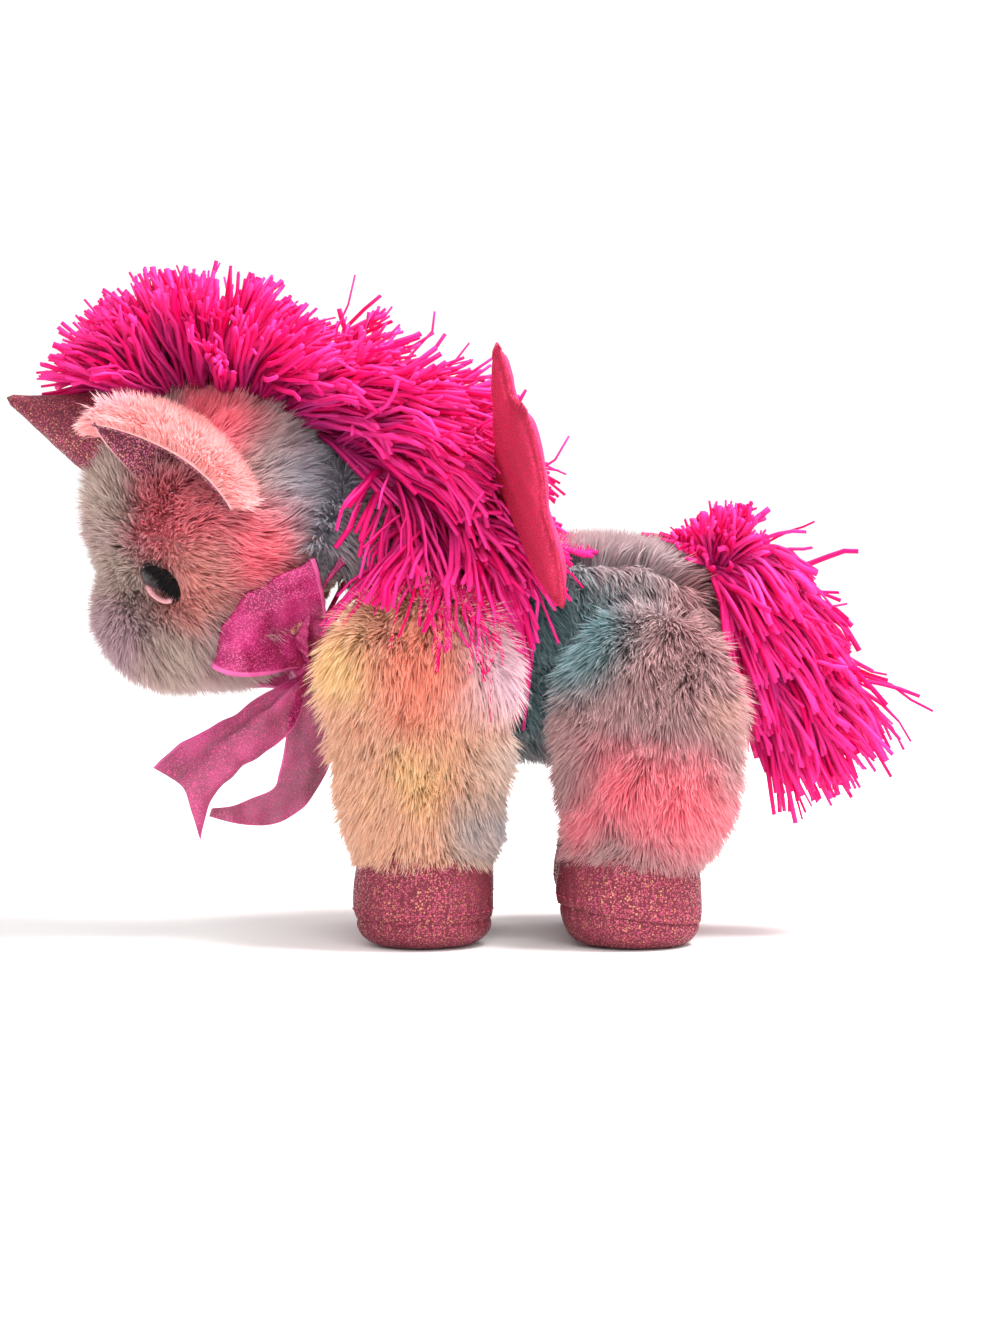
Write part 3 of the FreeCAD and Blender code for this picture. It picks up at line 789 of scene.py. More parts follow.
for side, flip in (("left", 1), ("right", -1)):
    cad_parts[f"eye_{side}"].data.materials.clear()
    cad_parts[f"eye_{side}"].data.materials.append(eye_gloss)
    look = Vector((-0.52, -0.70 * flip, -0.48)).normalized()
    middle = Vector((EYE[0] + 0.0026, (EYE[1] - 0.0004) * flip, EYE[2] - 0.0022)) - look * 0.0022
    turn = look.to_track_quat("Z", "Y").to_matrix()

    # The rim is a roll of cloth bent half round the dome and drawn to a point at each corner.
    bm = bmesh.new()
    verts = bmesh.ops.create_circle(bm, segments=12, radius=0.0008)["verts"]
    bmesh.ops.rotate(bm, cent=(0, 0, 0), matrix=Matrix.Rotation(math.pi / 2, 3, "X"), verts=verts)
    bmesh.ops.translate(bm, vec=(0.0050, 0, 0), verts=verts)
    bent = bmesh.ops.spin(
        bm, geom=bm.verts[:] + bm.edges[:], cent=(0, 0, 0), axis=(0, 0, 1), angle=-math.pi, steps=30,
    )
    corner = [g for g in bent["geom_last"] if isinstance(g, bmesh.types.BMVert)]
    bmesh.ops.pointmerge(bm, verts=corner, merge_co=(-0.0050, 0.0006, 0))
    bmesh.ops.pointmerge(bm, verts=[v for v in bm.verts if v.is_boundary], merge_co=(0.0050, 0.0006, 0))
    bmesh.ops.translate(bm, vec=(0, 0, 0.0038), verts=bm.verts)
    bmesh.ops.transform(bm, matrix=Matrix.Translation(middle) @ turn.to_4x4(), verts=bm.verts)
    bmesh.ops.recalc_face_normals(bm, faces=bm.faces)
    rim = built(bm, f"eye_rim_{side}")
    rim.data.materials.append(rim_cloth)
    bare(rim)

    bm = bmesh.new()
    bmesh.ops.create_uvsphere(bm, u_segments=32, v_segments=16, radius=0.0058)
    low = [v for v in bm.verts if v.co.z < 0.0018]
    bmesh.ops.delete(bm, geom=low, context="VERTS")
    bmesh.ops.transform(bm, matrix=Matrix.Translation(middle) @ turn.to_4x4(), verts=bm.verts)
    lash_cloth = built(bm, f"lash_cloth_{side}", smooth=False)
    upper = np.array([0.75, 0, 0.66])

    def lash_keep(p, centre=np.array(middle), upper=upper):
        return ((p - centre) @ upper) > 0.0002

    lashes = pile(
        lash_cloth, f"lashes_{side}", 1000, lambda p: np.full(len(p), 0.0058),
        lambda p: np.tile([-0.5, -0.2 * flip, -0.9], (len(p), 1)), lash_keep, 91 + flip,
        width=0.0003, lean=0.8, clump=0.0012,
    )
    bpy.data.objects.remove(lash_cloth)
    lashes.data.materials.append(lash_plush)
    for piece, slot in ((rim, "eyelid_cloth"), (lashes, "eyelid_cloth")):
        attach(piece, "head")
    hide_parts(f"eyelid_{side}")

washer_white = mottled(
    "washer_plastic", 900.0, (0.74, 0.74, 0.72), (0.84, 0.84, 0.82), 0.5, bump=(0.2, 0.0001),
)
for side in ("left", "right"):
    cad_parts[f"eye_washer_{side}"].data.materials.clear()
    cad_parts[f"eye_washer_{side}"].data.materials.append(washer_white)

# ---- Ears ---------------------------------------------------------------------------------------
# Each ear is a folded leaf: fur cloth outside and foil-dot cloth inside, sewn edge to edge and
# turned, then caught in the head's side seam so that it points forwards.

ear_lining = foil_material("ear_foil_dots", (0.10, 0.012, 0.030), (0.42, 0.10, 0.18), colours=0.35)
EAR_PINK = (1.00, 0.58, 0.68)
ear_dyes = fur_material(
    "ear_dye", (1.0, 0.50, 0.50),
    [(EAR_PINK, -0.092, 0.153, 0.016), (STRAW, -0.0805, 0.143, 0.0075), (PEACH, -0.068, 0.134, 0.012)],
)
for side, flip in (("left", 1), ("right", -1)):
    root = Vector((-0.0630, -0.0350 * flip, 0.1225))
    point = Vector((-0.0965, -0.0415 * flip, 0.1500))
    along = (point - root).normalized()
    down = (Vector((0, 0, -1)) - along * along.dot(Vector((0, 0, -1)))).normalized()
    out = along.cross(down)
    out = out if out.y * flip < 0 else -out
    turn = math.radians(27)
    opening = down * math.cos(turn) + out * math.sin(turn)
    across = out * math.cos(turn) - down * math.sin(turn)
    length = (point - root).length + 0.001

    bm = bmesh.new()
    bmesh.ops.create_grid(bm, x_segments=26, y_segments=18, size=0.5)
    for v in bm.verts:
        s, t = v.co.x + 0.5, v.co.y * 2
        wide = 0.0136 * (math.sin(math.pi * min(1, 0.10 + s * 0.92)) ** 0.70) * (1 - 0.25 * s)
        cup = 0.0125 * (1 - t * t) * math.sin(math.pi * min(1, 0.12 + 0.84 * s)) ** 0.6
        curl = 0.0030 * s * s
        v.co = root - along * 0.002 + along * (s * length)
        v.co += across * (t * wide) - opening * cup + opening * curl
    bmesh.ops.recalc_face_normals(bm, faces=bm.faces)
    leaf = built(bm, f"ear_{side}_leaf")
    outward = vertex_normals(leaf.data).mean(0)
    if outward @ np.array(opening) > 0:
        leaf.data.flip_normals()
    back = link(leaf.data.copy(), f"ear_{side}_skin")
    wall = back.modifiers.new("wall", "SOLIDIFY")
    wall.thickness = 0.0009
    wall.offset = 0.0
    settled(back)
    bare(back)
    back.data.materials.clear()
    back.data.materials.append(ear_dyes)
    lining = link(leaf.data.copy(), f"ear_{side}_foil_lining")
    move_along_normals(lining, -0.0009)
    wall = lining.modifiers.new("wall", "SOLIDIFY")
    wall.thickness = 0.0006
    wall.offset = 0.0
    settled(lining)
    lining.data.shade_smooth()
    lining.data.materials.clear()
    lining.data.materials.append(ear_lining)
    combed = np.array(along * 0.35 + opening * 0.75)

    def ear_keep(p, foot=np.array(root), across=np.array(across), along=np.array(along)):
        """The outside of the fold and all round the sewn root, so that the lining shows."""
        return ((p - foot) @ across > -0.0035) | ((p - foot) @ along < 0.006)

    coat = pile(
        leaf, f"ear_{side}_fur", 15000, lambda p: np.full(len(p), 0.0078),
        lambda p, combed=combed: np.tile(combed, (len(p), 1)), ear_keep,
        111 + flip, width=0.0005, lean=0.62, clump=0.0018, hold=0.12,
    )
    bpy.data.objects.remove(leaf)
    coat.data.materials.append(ear_dyes)
    for piece, slot in ((back, "fur"), (coat, "fur"), (lining, "glitter_cloth")):
        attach(piece, f"ear_{side}")
    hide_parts(f"ear_{side}_back")
    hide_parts(f"ear_{side}_lining")

# ---- Horn ---------------------------------------------------------------------------------------
# A cone of foil-dot cloth with one seam along its underside, stuffed firmly, its tip lifted a little,
# sewn to the middle of the forehead.

bm = bmesh.new()
outline = [
    (0.0138, -0.008), (0.0140, -0.002), (0.0136, 0.004), (0.0118, 0.010), (0.0088, 0.017),
    (0.0058, 0.024), (0.0032, 0.030), (0.0016, 0.0345), (0.0, 0.0362),
]
verts = [bm.verts.new((radius, 0, height)) for radius, height in outline]
edges = [bm.edges.new(pair) for pair in zip(verts, verts[1:])]
bmesh.ops.spin(
    bm, geom=verts + edges, cent=(0, 0, 0), axis=(0, 0, 1), angle=2 * math.pi, steps=96, use_merge=True,
)
bmesh.ops.remove_doubles(bm, verts=bm.verts, dist=1e-6)
slopes = [e for e in bm.edges if abs(e.verts[0].co.z - e.verts[1].co.z) > 0.003]
bmesh.ops.subdivide_edges(bm, edges=slopes, cuts=3)
for v in bm.verts:
    angle = math.atan2(v.co.y, v.co.x)
    seam = math.exp(-((abs(angle) / 0.16) ** 2))
    folds = 0.012 * math.sin(angle * 5 + v.co.z * 260)
    gathers = 0.010 * math.sin(v.co.z * 900) * math.exp(-((abs(angle) / 0.7) ** 2))
    crease = 1 - 0.09 * seam - folds - gathers
    v.co.x *= crease
    v.co.y *= crease * 0.94
    v.co.x -= 0.0026 * max(0.0, v.co.z / 0.036) ** 2.2
bmesh.ops.recalc_face_normals(bm, faces=bm.faces)
forehead = Vector((-0.0925, 0, 0.1430))
axis = Vector((-0.962, 0, 0.272)).normalized()
low = Vector((0, 0, -1))
low = (low - axis * low.dot(axis)).normalized()
horn_turn = Matrix((low, axis.cross(low), axis)).transposed()
bmesh.ops.transform(bm, matrix=Matrix.Translation(forehead) @ horn_turn.to_4x4(), verts=bm.verts)
bmesh.ops.recalc_face_normals(bm, faces=bm.faces)
horn = built(bm, "horn_cone")
horn_cloth = foil_material("horn_foil_dots", (0.10, 0.008, 0.020), (0.34, 0.050, 0.100), colours=0.30)
horn.data.materials.append(horn_cloth)
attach(horn, "head")
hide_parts("horn_cover", "horn_stuffing")

# ---- Mane ---------------------------------------------------------------------------------------
# A fringe of blunt-cut bundles of hot pink fibre, knotted along a tape that is sewn from the
# forehead over the head and down the neck. It sprays forwards, up and back, and falls on both sides.

# One bundle: a flattened four-sided rope in seven runs, from z 0 to z 1.
RUNS = 7
bm = bmesh.new()
bmesh.ops.create_circle(bm, cap_ends=False, segments=4, radius=1.0)
loop = bm.edges[:]
bmesh.ops.contextual_create(bm, geom=loop)
for _ in range(RUNS):
    risen = bmesh.ops.extrude_edge_only(bm, edges=loop)["geom"]
    top = [g for g in risen if isinstance(g, bmesh.types.BMVert)]
    bmesh.ops.translate(bm, vec=(0, 0, 1 / RUNS), verts=top)
    loop = [g for g in risen if isinstance(g, bmesh.types.BMEdge) and all(v in top for v in g.verts)]
bmesh.ops.contextual_create(bm, geom=loop)
bmesh.ops.recalc_face_normals(bm, faces=bm.faces)
BUNDLE = bpy.data.meshes.new("bundle")
bm.to_mesh(BUNDLE)
bm.free()


def fringe(name, root, first, last, long, thick, seed, solids, frizz=0.0012):
    """Bundles that leave root along first and end along last, kept outside the round solids."""
    rng = np.random.default_rng(seed)
    count = len(root)
    first, last = unit(first), unit(last)
    points = [root]
    for i in range(RUNS):
        s = (i + 0.5) / RUNS
        way = unit(first * (1 - s) + last * s)
        points.append(points[-1] + way * (long / RUNS)[:, None])
    line = np.stack(points, axis=1)
    s = np.linspace(0, 1, RUNS + 1)
    wave = drift(line.reshape(-1, 3), 0.014, seed).reshape(line.shape) * frizz
    own = rng.normal(size=(count, 1, 3)) * frizz * 1.3
    line = line + (wave + own * np.sin(s * 3.0)[None, :, None]) * s[None, :, None]
    for centre, radii in solids:
        away = (line - np.array(centre)) / np.array(radii)
        size = np.linalg.norm(away, axis=2, keepdims=True)
        line = np.where(size < 1, np.array(centre) + away / np.maximum(size, 1e-6) * np.array(radii), line)
    run = unit(np.gradient(line, axis=1))
    flat = unit(np.cross(run, rng.normal(size=(count, 1, 3))))
    other = np.cross(run, flat)
    template = vertex_places(BUNDLE)
    step = np.rint(template[:, 2] * RUNS).astype(int)
    swell = np.array([0.70, 0.95, 1.05, 1.08, 1.05, 1.0, 0.95, 0.88])[step]
    thick = thick[:, None]
    places = (
        line[:, step]
        + flat[:, step] * (template[:, 0] * swell * thick)[:, :, None]
        + other[:, step] * (template[:, 1] * swell * thick * 0.55)[:, :, None]
    )
    along = np.empty((count, len(template), 2))
    along[:, :, 0] = rng.random(count)[:, None]
    along[:, :, 1] = template[:, 2]
    return link(copies(BUNDLE, name, places, along), name)


hot_pink, nodes, links = new_material("hot_pink_fringe")
shader, out = nodes["Principled BSDF"], nodes["Material Output"]
bundle = made(nodes, "UVMap", uv_map="UVMap")
split = made(nodes, "SeparateXYZ")
own_tint = two_tone(nodes, (0.88, 0.003, 0.180), (1.00, 0.065, 0.440))
# Painted shade: each bundle is darkened towards its root, where the fringe shades itself.
depth = made(nodes, "MapRange", {"From Max": 0.8, "To Min": 0.48, "To Max": 1.0})
shaded = made(nodes, "VectorMath", operation="SCALE")
coords = made(nodes, "TexCoord")
fibres = made(nodes, "TexNoise", {"Scale": 2600.0, "Detail": 3.0})
fibre_bump = made(nodes, "Bump", {"Strength": 0.5, "Distance": 0.0003})
through = made(nodes, "BsdfTranslucent")
both = made(nodes, "MixShader", {0: 0.38})
wire(links, [
    (bundle, "UV", split, 0), (split, "X", own_tint, "Fac"), (split, "Y", depth, "Value"),
    (own_tint, "Color", shaded, 0), (depth, 0, shaded, "Scale"), (coords, "Object", fibres, "Vector"),
    (fibres, "Fac", fibre_bump, "Height"), (fibre_bump, "Normal", shader, "Normal"),
    (shaded, 0, shader, "Base Color"), (shaded, 0, through, "Color"), (shader, 0, both, 1),
    (through, 0, both, 2), (both, 0, out, "Surface"),
])
shader.inputs["Roughness"].default_value = 0.5
shader.inputs["Specular IOR Level"].default_value = 0.22
shader.inputs["Specular Tint"].default_value = (1.0, 0.45, 0.72, 1)

# The tape's line over the head and down the neck, as x and z.
CREST = np.array([
    (-0.0885, 0.1540), (-0.0830, 0.1565), (-0.0740, 0.1580), (-0.0600, 0.1580), (-0.0470, 0.1540),
    (-0.0350, 0.1470), (-0.0230, 0.1390), (-0.0110, 0.1290), (0.0, 0.1200), (0.0070, 0.1150),
])
# Which way the bundles leave the tape and which way they end, from the forehead to the withers.
SPRAY = np.array([
    (-0.70, 0.90, -1.00, 0.30), (-0.55, 1.00, -0.90, 0.45), (-0.25, 1.00, -0.30, 0.85),
    (0.20, 1.00, 0.62, 0.55), (0.55, 0.90, 0.95, 0.10), (0.70, 0.65, 0.95, -0.18),
    (0.70, 0.55, 0.85, -0.50), (0.60, 0.50, 0.60, -0.80), (0.50, 0.60, 0.40, -0.95),
    (0.25, 0.80, 0.25, -0.95),
])
# Centres and radii of what the bundles lie over: head, neck, chest, the front legs' tops and back.
SOLIDS = [
    ((-0.067, 0, 0.122), (0.0375, 0.0375, 0.0385)),
    ((-0.030, 0, 0.112), (0.032, 0.0275, 0.030)),
    ((-0.007, 0, 0.084), (0.034, 0.036, 0.034)),
    ((-0.007, -0.030, 0.076), (0.0320, 0.0145, 0.0300)),
    ((-0.007, 0.030, 0.076), (0.0320, 0.0145, 0.0300)),
    ((0.026, 0, 0.085), (0.042, 0.033, 0.0315)),
]
PER_LOCK = 7


def mane_bundles(name, count, start, end, seed, body, fall, length=(0.030, 0.046)):
    """Bundles in locks, rooted between shares start and end of the crest; fall widens their drop."""
    rng = np.random.default_rng(seed)
    locks = count // PER_LOCK
    lock = rng.integers(0, locks, count)

    def shared(values, own):
        """Each bundle's value: its lock's, and own more or less."""
        return values[lock] + rng.normal(scale=own, size=values[lock].shape)

    t = np.clip(shared(start + (end - start) * rng.random(locks), 0.006), start, end)
    y = np.clip(shared(rng.uniform(-1, 1, locks), 0.07), -1, 1)
    at = t * (len(CREST) - 1)
    crest = np.stack([np.interp(at, np.arange(len(CREST)), CREST[:, i]) for i in (0, 1)], axis=1)
    spray = np.stack([np.interp(at, np.arange(len(CREST)), SPRAY[:, i]) for i in range(4)], axis=1)
    root = np.stack([crest[:, 0], y * 0.012, crest[:, 1] - 0.004 * y * y], axis=1)
    outwards = y + shared(rng.normal(scale=0.20, size=locks), 0.05)
    drop = np.abs(y) ** 0.8 * np.clip(shared(rng.random(locks) ** 0.6, 0.05), 0, 1) * fall
    loose = shared(rng.normal(scale=0.22, size=(locks, 3)), 0.05) + 0.34 * drift(root, 0.012, seed)
    ahead = spray[:, :2] * 0.45 + spray[:, 2:] * 0.75
    sideways = outwards * (0.35 + fall * 0.5)
    first = np.stack([ahead[:, 0], sideways, ahead[:, 1] + 0.35 * (1 - drop)], axis=1) + loose
    sideways = outwards * 0.25 + np.sign(y) * drop * 0.20
    last = np.stack([spray[:, 2], sideways, spray[:, 3] - drop * 1.2], axis=1) + loose * 1.2
    wild = rng.random(count) < 0.035
    last[wild] = first[wild] + rng.normal(scale=0.35, size=(wild.sum(), 3)) + [0, 0, 0.35]
    short = np.interp(t, [0.0, 0.10, 0.22, 0.34, 0.46, 0.6], [0.72, 0.80, 0.88, 0.82, 0.82, 0.95])
    long = shared(rng.uniform(*length, locks), 0.0015) * (1 + 0.20 * np.minimum(drop, 1)) * short
    obj = fringe(name, root, first, last, long, rng.uniform(0.00055, 0.00105, count), seed, SOLIDS)
    obj.data.materials.append(hot_pink)
    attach(obj, body)
    return obj


head_fringe = mane_bundles("mane_on_head", 2200, 0.0, 0.50, 131, "head", 0.10, (0.030, 0.041))
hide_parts("head_mane")
neck_fringe = mane_bundles("mane_on_neck", 3000, 0.44, 0.90, 132, "neck", 1.0, (0.034, 0.050))
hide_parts("neck_mane")
withers_fringe = mane_bundles("mane_on_withers", 350, 0.90, 1.0, 133, "torso", 0.8, (0.020, 0.030))
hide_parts("withers_mane")

# ---- Ribbon -------------------------------------------------------------------------------------
# A sheer organza ribbon with woven satin edges goes once round the neck, hidden in the pile, and is
# tied in a bow under the chin: a knot, a loop to each side and two cut ends.


def through(points, shares):
    """Places at shares from 0 to 1 along a smooth line through points."""
    points = np.asarray(points, float)
    at = np.asarray(shares) * (len(points) - 1)
    i = np.clip(at.astype(int), 0, len(points) - 2)
    f = (at - i)[:, None]
    ends = np.vstack([2 * points[0] - points[1], points, 2 * points[-1] - points[-2]])
    a, b, c, d = ends[i], ends[i + 1], ends[i + 2], ends[i + 3]
    return 0.5 * (2 * b + (c - a) * f + (2 * a - 5 * b + 4 * c - d) * f**2 + (3 * b - a - 3 * c + d) * f**3)


def organza(name, lines, long=60, wide=24, ripple=0.0006, seed=1):
    """A ribbon through long lines in millimetres, from one woven edge to the other."""
    run = np.linspace(0, 1, long + 1)
    threads = np.stack([through(line, run) for line in lines], axis=1) / 1000
    cross = np.linspace(0, 1, wide + 1)
    cloth = np.stack([through(row, cross) for row in threads])
    bm = bmesh.new()
    bmesh.ops.create_grid(bm, x_segments=long, y_segments=wide, size=0.5, calc_uvs=True)
    lay = bm.loops.layers.uv.new("UVMap")
    for face in bm.faces:
        for corner in face.loops:
            corner[lay].uv = (corner.vert.co.x + 0.5, corner.vert.co.y + 0.5)
    for v in bm.verts:
        v.co = cloth[round((v.co.x + 0.5) * long), round((v.co.y + 0.5) * wide)]
    bmesh.ops.recalc_face_normals(bm, faces=bm.faces)
    obj = built(bm, name, smooth=False)
    move_along_normals(obj, drift(vertex_places(obj.data), 0.007, seed)[:, 0] * ripple)
    size = sum(face.area for face in obj.data.polygons)
    wall = obj.modifiers.new("wall", "SOLIDIFY")
    wall.thickness = 0.00016
    wall.offset = 0.0
    settled(obj)
    obj.data.shade_smooth()
    return obj, size


sheer, nodes, links = new_material("raspberry_organza")
shader = nodes["Principled BSDF"]
cloth_uv = made(nodes, "UVMap", uv_map="UVMap")
split = made(nodes, "SeparateXYZ")
links.new(cloth_uv.outputs["UV"], split.inputs[0])
centre_line = made(nodes, "Math", {1: 0.5}, operation="SUBTRACT")
from_middle = made(nodes, "Math", operation="ABSOLUTE")
satin_edge = made(nodes, "MapRange", {"From Min": 0.462, "From Max": 0.472})
wire(links, [
    (split, "Y", centre_line, 0), (centre_line, 0, from_middle, 0),
    (from_middle, 0, satin_edge, "Value"),
])
coords = made(nodes, "TexCoord")
# Painted glints: a share of tiny cells is painted in a lighter pink and made more opaque, standing in for
# light caught by the weave.
glint = made(nodes, "TexVoronoi", {"Scale": 3600.0})
glint_share = made(nodes, "MapRange", {"From Min": 0.62, "From Max": 0.95})
glint_hue = made(nodes, "SeparateXYZ")
# The cloth wanders at random between a darker and a lighter raspberry. This is partly its own uneven tone
# and partly painted shade in the folds and painted sheen streaks.
tone_shade_and_sheen = made(nodes, "TexNoise", {"Scale": 90.0})
tone_shade_and_sheen_ramp = two_tone(nodes, (0.20, 0.004, 0.045), (0.46, 0.022, 0.145), (0.36, 0.64))
lit = made(nodes, "Mix", {7: (0.62, 0.07, 0.24, 1)}, data_type="RGBA")
edged = made(nodes, "Mix", {7: (0.66, 0.10, 0.30, 1)}, data_type="RGBA")
wire(links, [
    (coords, "Object", glint, "Vector"), (coords, "Object", tone_shade_and_sheen, "Vector"),
    (glint, "Color", glint_hue, 0), (glint_hue, "X", glint_share, "Value"),
    (tone_shade_and_sheen, "Fac", tone_shade_and_sheen_ramp, "Fac"), (glint_share, 0, lit, "Factor"), (tone_shade_and_sheen_ramp, "Color", lit, 6),
    (satin_edge, 0, edged, "Factor"), (lit, 2, edged, 6), (edged, 2, shader, "Base Color"),
])
cover = made(nodes, "MapRange", {"To Min": 0.78, "To Max": 1.0})
solid_share = made(nodes, "Math", operation="MAXIMUM")
wire(links, [
    (glint_share, 0, solid_share, 0), (satin_edge, 0, solid_share, 1), (solid_share, 0, cover, "Value"),
    (cover, 0, shader, "Alpha"),
])
weave = made(nodes, "Bump", {"Strength": 0.3, "Distance": 0.0002})
wire(links, [(glint_hue, "Y", weave, "Height"), (weave, "Normal", shader, "Normal")])
shader.inputs["Roughness"].default_value = 0.32
shader.inputs["Specular IOR Level"].default_value = 0.5
shader.inputs["Specular Tint"].default_value = (1.0, 0.60, 0.80, 1)

# Each line of a loop runs from the knot, round the fold and back to the knot; the first and last
# lines are the woven edges. Millimetres, for the toy's left side.
LOOP = [
    [(-40, -6, 79), (-50, -21, 76.5), (-60, -27, 76.5),
     (-65.5, -24, 79), (-58, -16, 77.5), (-48, -9, 77), (-41, -5, 77)],
    [(-39.5, -8, 80.5), (-47, -18, 84.5), (-57, -27, 86),
     (-63.5, -25, 89), (-56, -16, 87), (-46, -8, 82), (-40.5, -4, 79)],
    [(-39, -9, 81.5), (-43, -14, 88), (-50, -26, 94),
     (-56, -28, 99), (-51, -18, 95), (-44, -9, 86), (-40, -4, 80.5)],
    [(-38, -9, 81.5), (-37.5, -17, 90), (-41, -27, 99),
     (-45.5, -30, 105.5), (-44, -20, 100), (-40, -9, 89), (-39, -4, 81)],
    [(-36.5, -7, 80.5), (-34, -14, 87), (-34, -23, 97),
     (-36.5, -28, 109.5), (-38, -20, 102), (-36.5, -9, 90), (-37.5, -4, 80)],
]
for side, flip in (("left", 1), ("right", -1)):
    far = 0 if side == "left" else 1
    lines = [[(x - 3 * far, y * flip, z - 6 * far) for x, y, z in line] for line in LOOP]
    loop, size = organza(f"bow_loop_{side}_cloth", lines, long=72, wide=28, seed=151 + far)
    loop.data.materials.append(sheer)
    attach(loop, "neck")
    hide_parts(f"bow_loop_{side}")

# The near end is folded along its middle and cut to a swallowtail; the far end hangs in a curve
# behind it.
NEAR_END = [
    [(-40, -8, 77), (-52.9, -9, 70), (-58.6, -9.5, 65.7),
     (-71, -10, 59), (-79, -10.5, 54), (-84, -10.5, 49.3)],
    [(-40.5, -9.5, 76), (-50, -11, 68), (-59, -12, 62),
     (-69, -13, 54.5), (-75, -13.5, 50), (-78.5, -13.5, 46.5)],
    [(-41, -10.5, 74.8), (-50, -13.5, 66.5), (-60, -15, 59),
     (-67, -16, 51.5), (-72.5, -16.5, 46), (-74.5, -16.5, 43.6)],
    [(-40.3, -9.5, 73.6), (-47, -11.5, 62.5), (-56, -13, 53.5),
     (-64, -14, 46.5), (-70, -14.5, 40), (-72.5, -14.5, 36.5)],
    [(-39.7, -8, 72.3), (-43, -9.5, 61.5), (-51.7, -10.5, 53.5),
     (-60.5, -11.5, 48), (-67.8, -12, 39), (-70.2, -12.5, 28.5)],
]
FAR_END = [
    [(-38.5, 1, 74), (-34.8, 2, 62), (-33.4, 4, 53), (-36, 6, 44.5),
     (-42.5, 6, 36), (-50.5, 4, 31.6), (-60, 0, 32), (-68.5, -3, 34.5)],
    [(-40, -1, 73.5), (-39, 0, 62), (-38.5, 1.5, 53), (-40.5, 3.5, 45.5),
     (-46, 4, 39), (-53.5, 3, 35.6), (-61, 0, 34.8), (-68.2, -3, 35.8)],
    [(-42.5, -2, 72.5), (-45.6, -1, 63), (-47, 1, 54), (-48.7, 2.5, 46.5),
     (-50.3, 3, 42.2), (-56, 2.5, 39.6), (-62, 0, 37.4), (-67.8, -3, 37)],
]
for node, lines, seed in (("ribbon_end_left", NEAR_END, 161), ("ribbon_end_right", FAR_END, 162)):
    end, size = organza(f"{node}_cloth", lines, long=80, wide=24, ripple=0.0005, seed=seed)
    end.data.materials.append(sheer)
    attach(end, "neck")
    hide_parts(node)

# The knot is one turn of ribbon pulled tight, and the band is the same ribbon gathered to a cord.
bm = bmesh.new()
bmesh.ops.create_uvsphere(bm, u_segments=48, v_segments=24, radius=1.0)
lay = bm.loops.layers.uv.new("UVMap")
for v in bm.verts:
    turn, height = math.atan2(v.co.y, v.co.x), v.co.z
    pleat = 1 + 0.07 * math.sin(5 * turn + 4 * height) + 0.04 * math.sin(11 * turn)
    v.co = Vector((v.co.x * 4.6 * pleat - 41.0, v.co.y * 6.0 * pleat - 2.5, height * 4.8 + 77.0)) / 1000
for face in bm.faces:
    for corner in face.loops:
        corner[lay].uv = (0.5, 0.5)
bmesh.ops.recalc_face_normals(bm, faces=bm.faces)
knot = built(bm, "bow_knot_turn")
knot.data.materials.append(sheer)
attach(knot, "neck")
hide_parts("bow_knot")

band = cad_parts["ribbon_band"]
bm = bmesh.new()
bm.from_mesh(band.data)
bmesh.ops.remove_doubles(bm, verts=bm.verts, dist=1e-6)
band_cloth = built(bm, "ribbon_band_cloth", smooth=False)
even = band_cloth.modifiers.new("even", "REMESH")
even.mode = "VOXEL"
even.voxel_size = 0.0004
settled(band_cloth)
places = vertex_places(band_cloth.data)
move_along_normals(band_cloth, 0.00025 * np.sin(places[:, 1] * 2600 + drift(places, 0.01, 171)[:, 0] * 2))
bare(band_cloth)
band_cloth.data.shade_smooth()
band_cloth.data.materials.clear()
band_cloth.data.materials.append(sheer)
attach(band_cloth, "neck")
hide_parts("ribbon_band")
size = sum(face.area for face in band_cloth.data.polygons) / 2

# ---- Wings --------------------------------------------------------------------------------------
# Each wing has three feather tips: dark red glitter cloth in front, hot pink cloth behind, a thin
# layer of wadding between, turned and then topstitched all round near the edge.

WING_ROOT = np.array([0.0175, -0.0035, 0.1150])
# The edge's stretches from the root over the three tips and back: millimetres out and up.
WING_EDGE = [
    [(0, 0.5), (3, 13), (22, 33), (40, 52)],
    [(40, 52), (49, 53), (53, 44), (52, 38)],
    [(52, 38), (64, 33), (67, 18), (59, 5)],
    [(59, 5), (61, -10), (53, -21), (42, -20)],
    [(42, -20), (31, -14), (22, -4), (10, 0), (0, 0.5)],
]
shares = np.linspace(0, 1, 60)[:-1]
stretches = [through([(x, y, 0) for x, y in part], shares) for part in WING_EDGE]
wing_edge = np.vstack(stretches)[:, :2] / 1000
edge_tree = KDTree(len(wing_edge))
for i, (out_place, up_place) in enumerate(wing_edge):
    edge_tree.insert((out_place, up_place, 0), i)
edge_tree.balance()


def within_wing(out_place, up_place):
    """Whether a place lies inside the edge: a line from it outwards crosses the edge an odd number
    of times."""
    a, b = wing_edge, np.roll(wing_edge, -1, axis=0)
    crosses = (a[:, 1] > up_place) != (b[:, 1] > up_place)
    rise = np.where(b[:, 1] == a[:, 1], 1e-12, b[:, 1] - a[:, 1])
    at = a[:, 0] + (up_place - a[:, 1]) / rise * (b[:, 0] - a[:, 0])
    return bool((crosses & (out_place < at)).sum() % 2)


def pillow(d):
    """Half the wing's thickness at d metres from its edge: a flat hem, a stitched groove, wadding."""
    hem = 0.0011 * (1 - math.exp(-d / 0.0005))
    wadding = 0.0024 * (1 - math.exp(-max(0.0, d - 0.0030) / 0.0035))
    groove = 0.0007 * math.exp(-(((d - 0.0029) / 0.0005) ** 2))
    return hem + wadding - groove


wing_turn = Matrix.Rotation(math.radians(-13.5), 3, "Y") @ Matrix.Rotation(math.radians(12.0), 3, "Z")


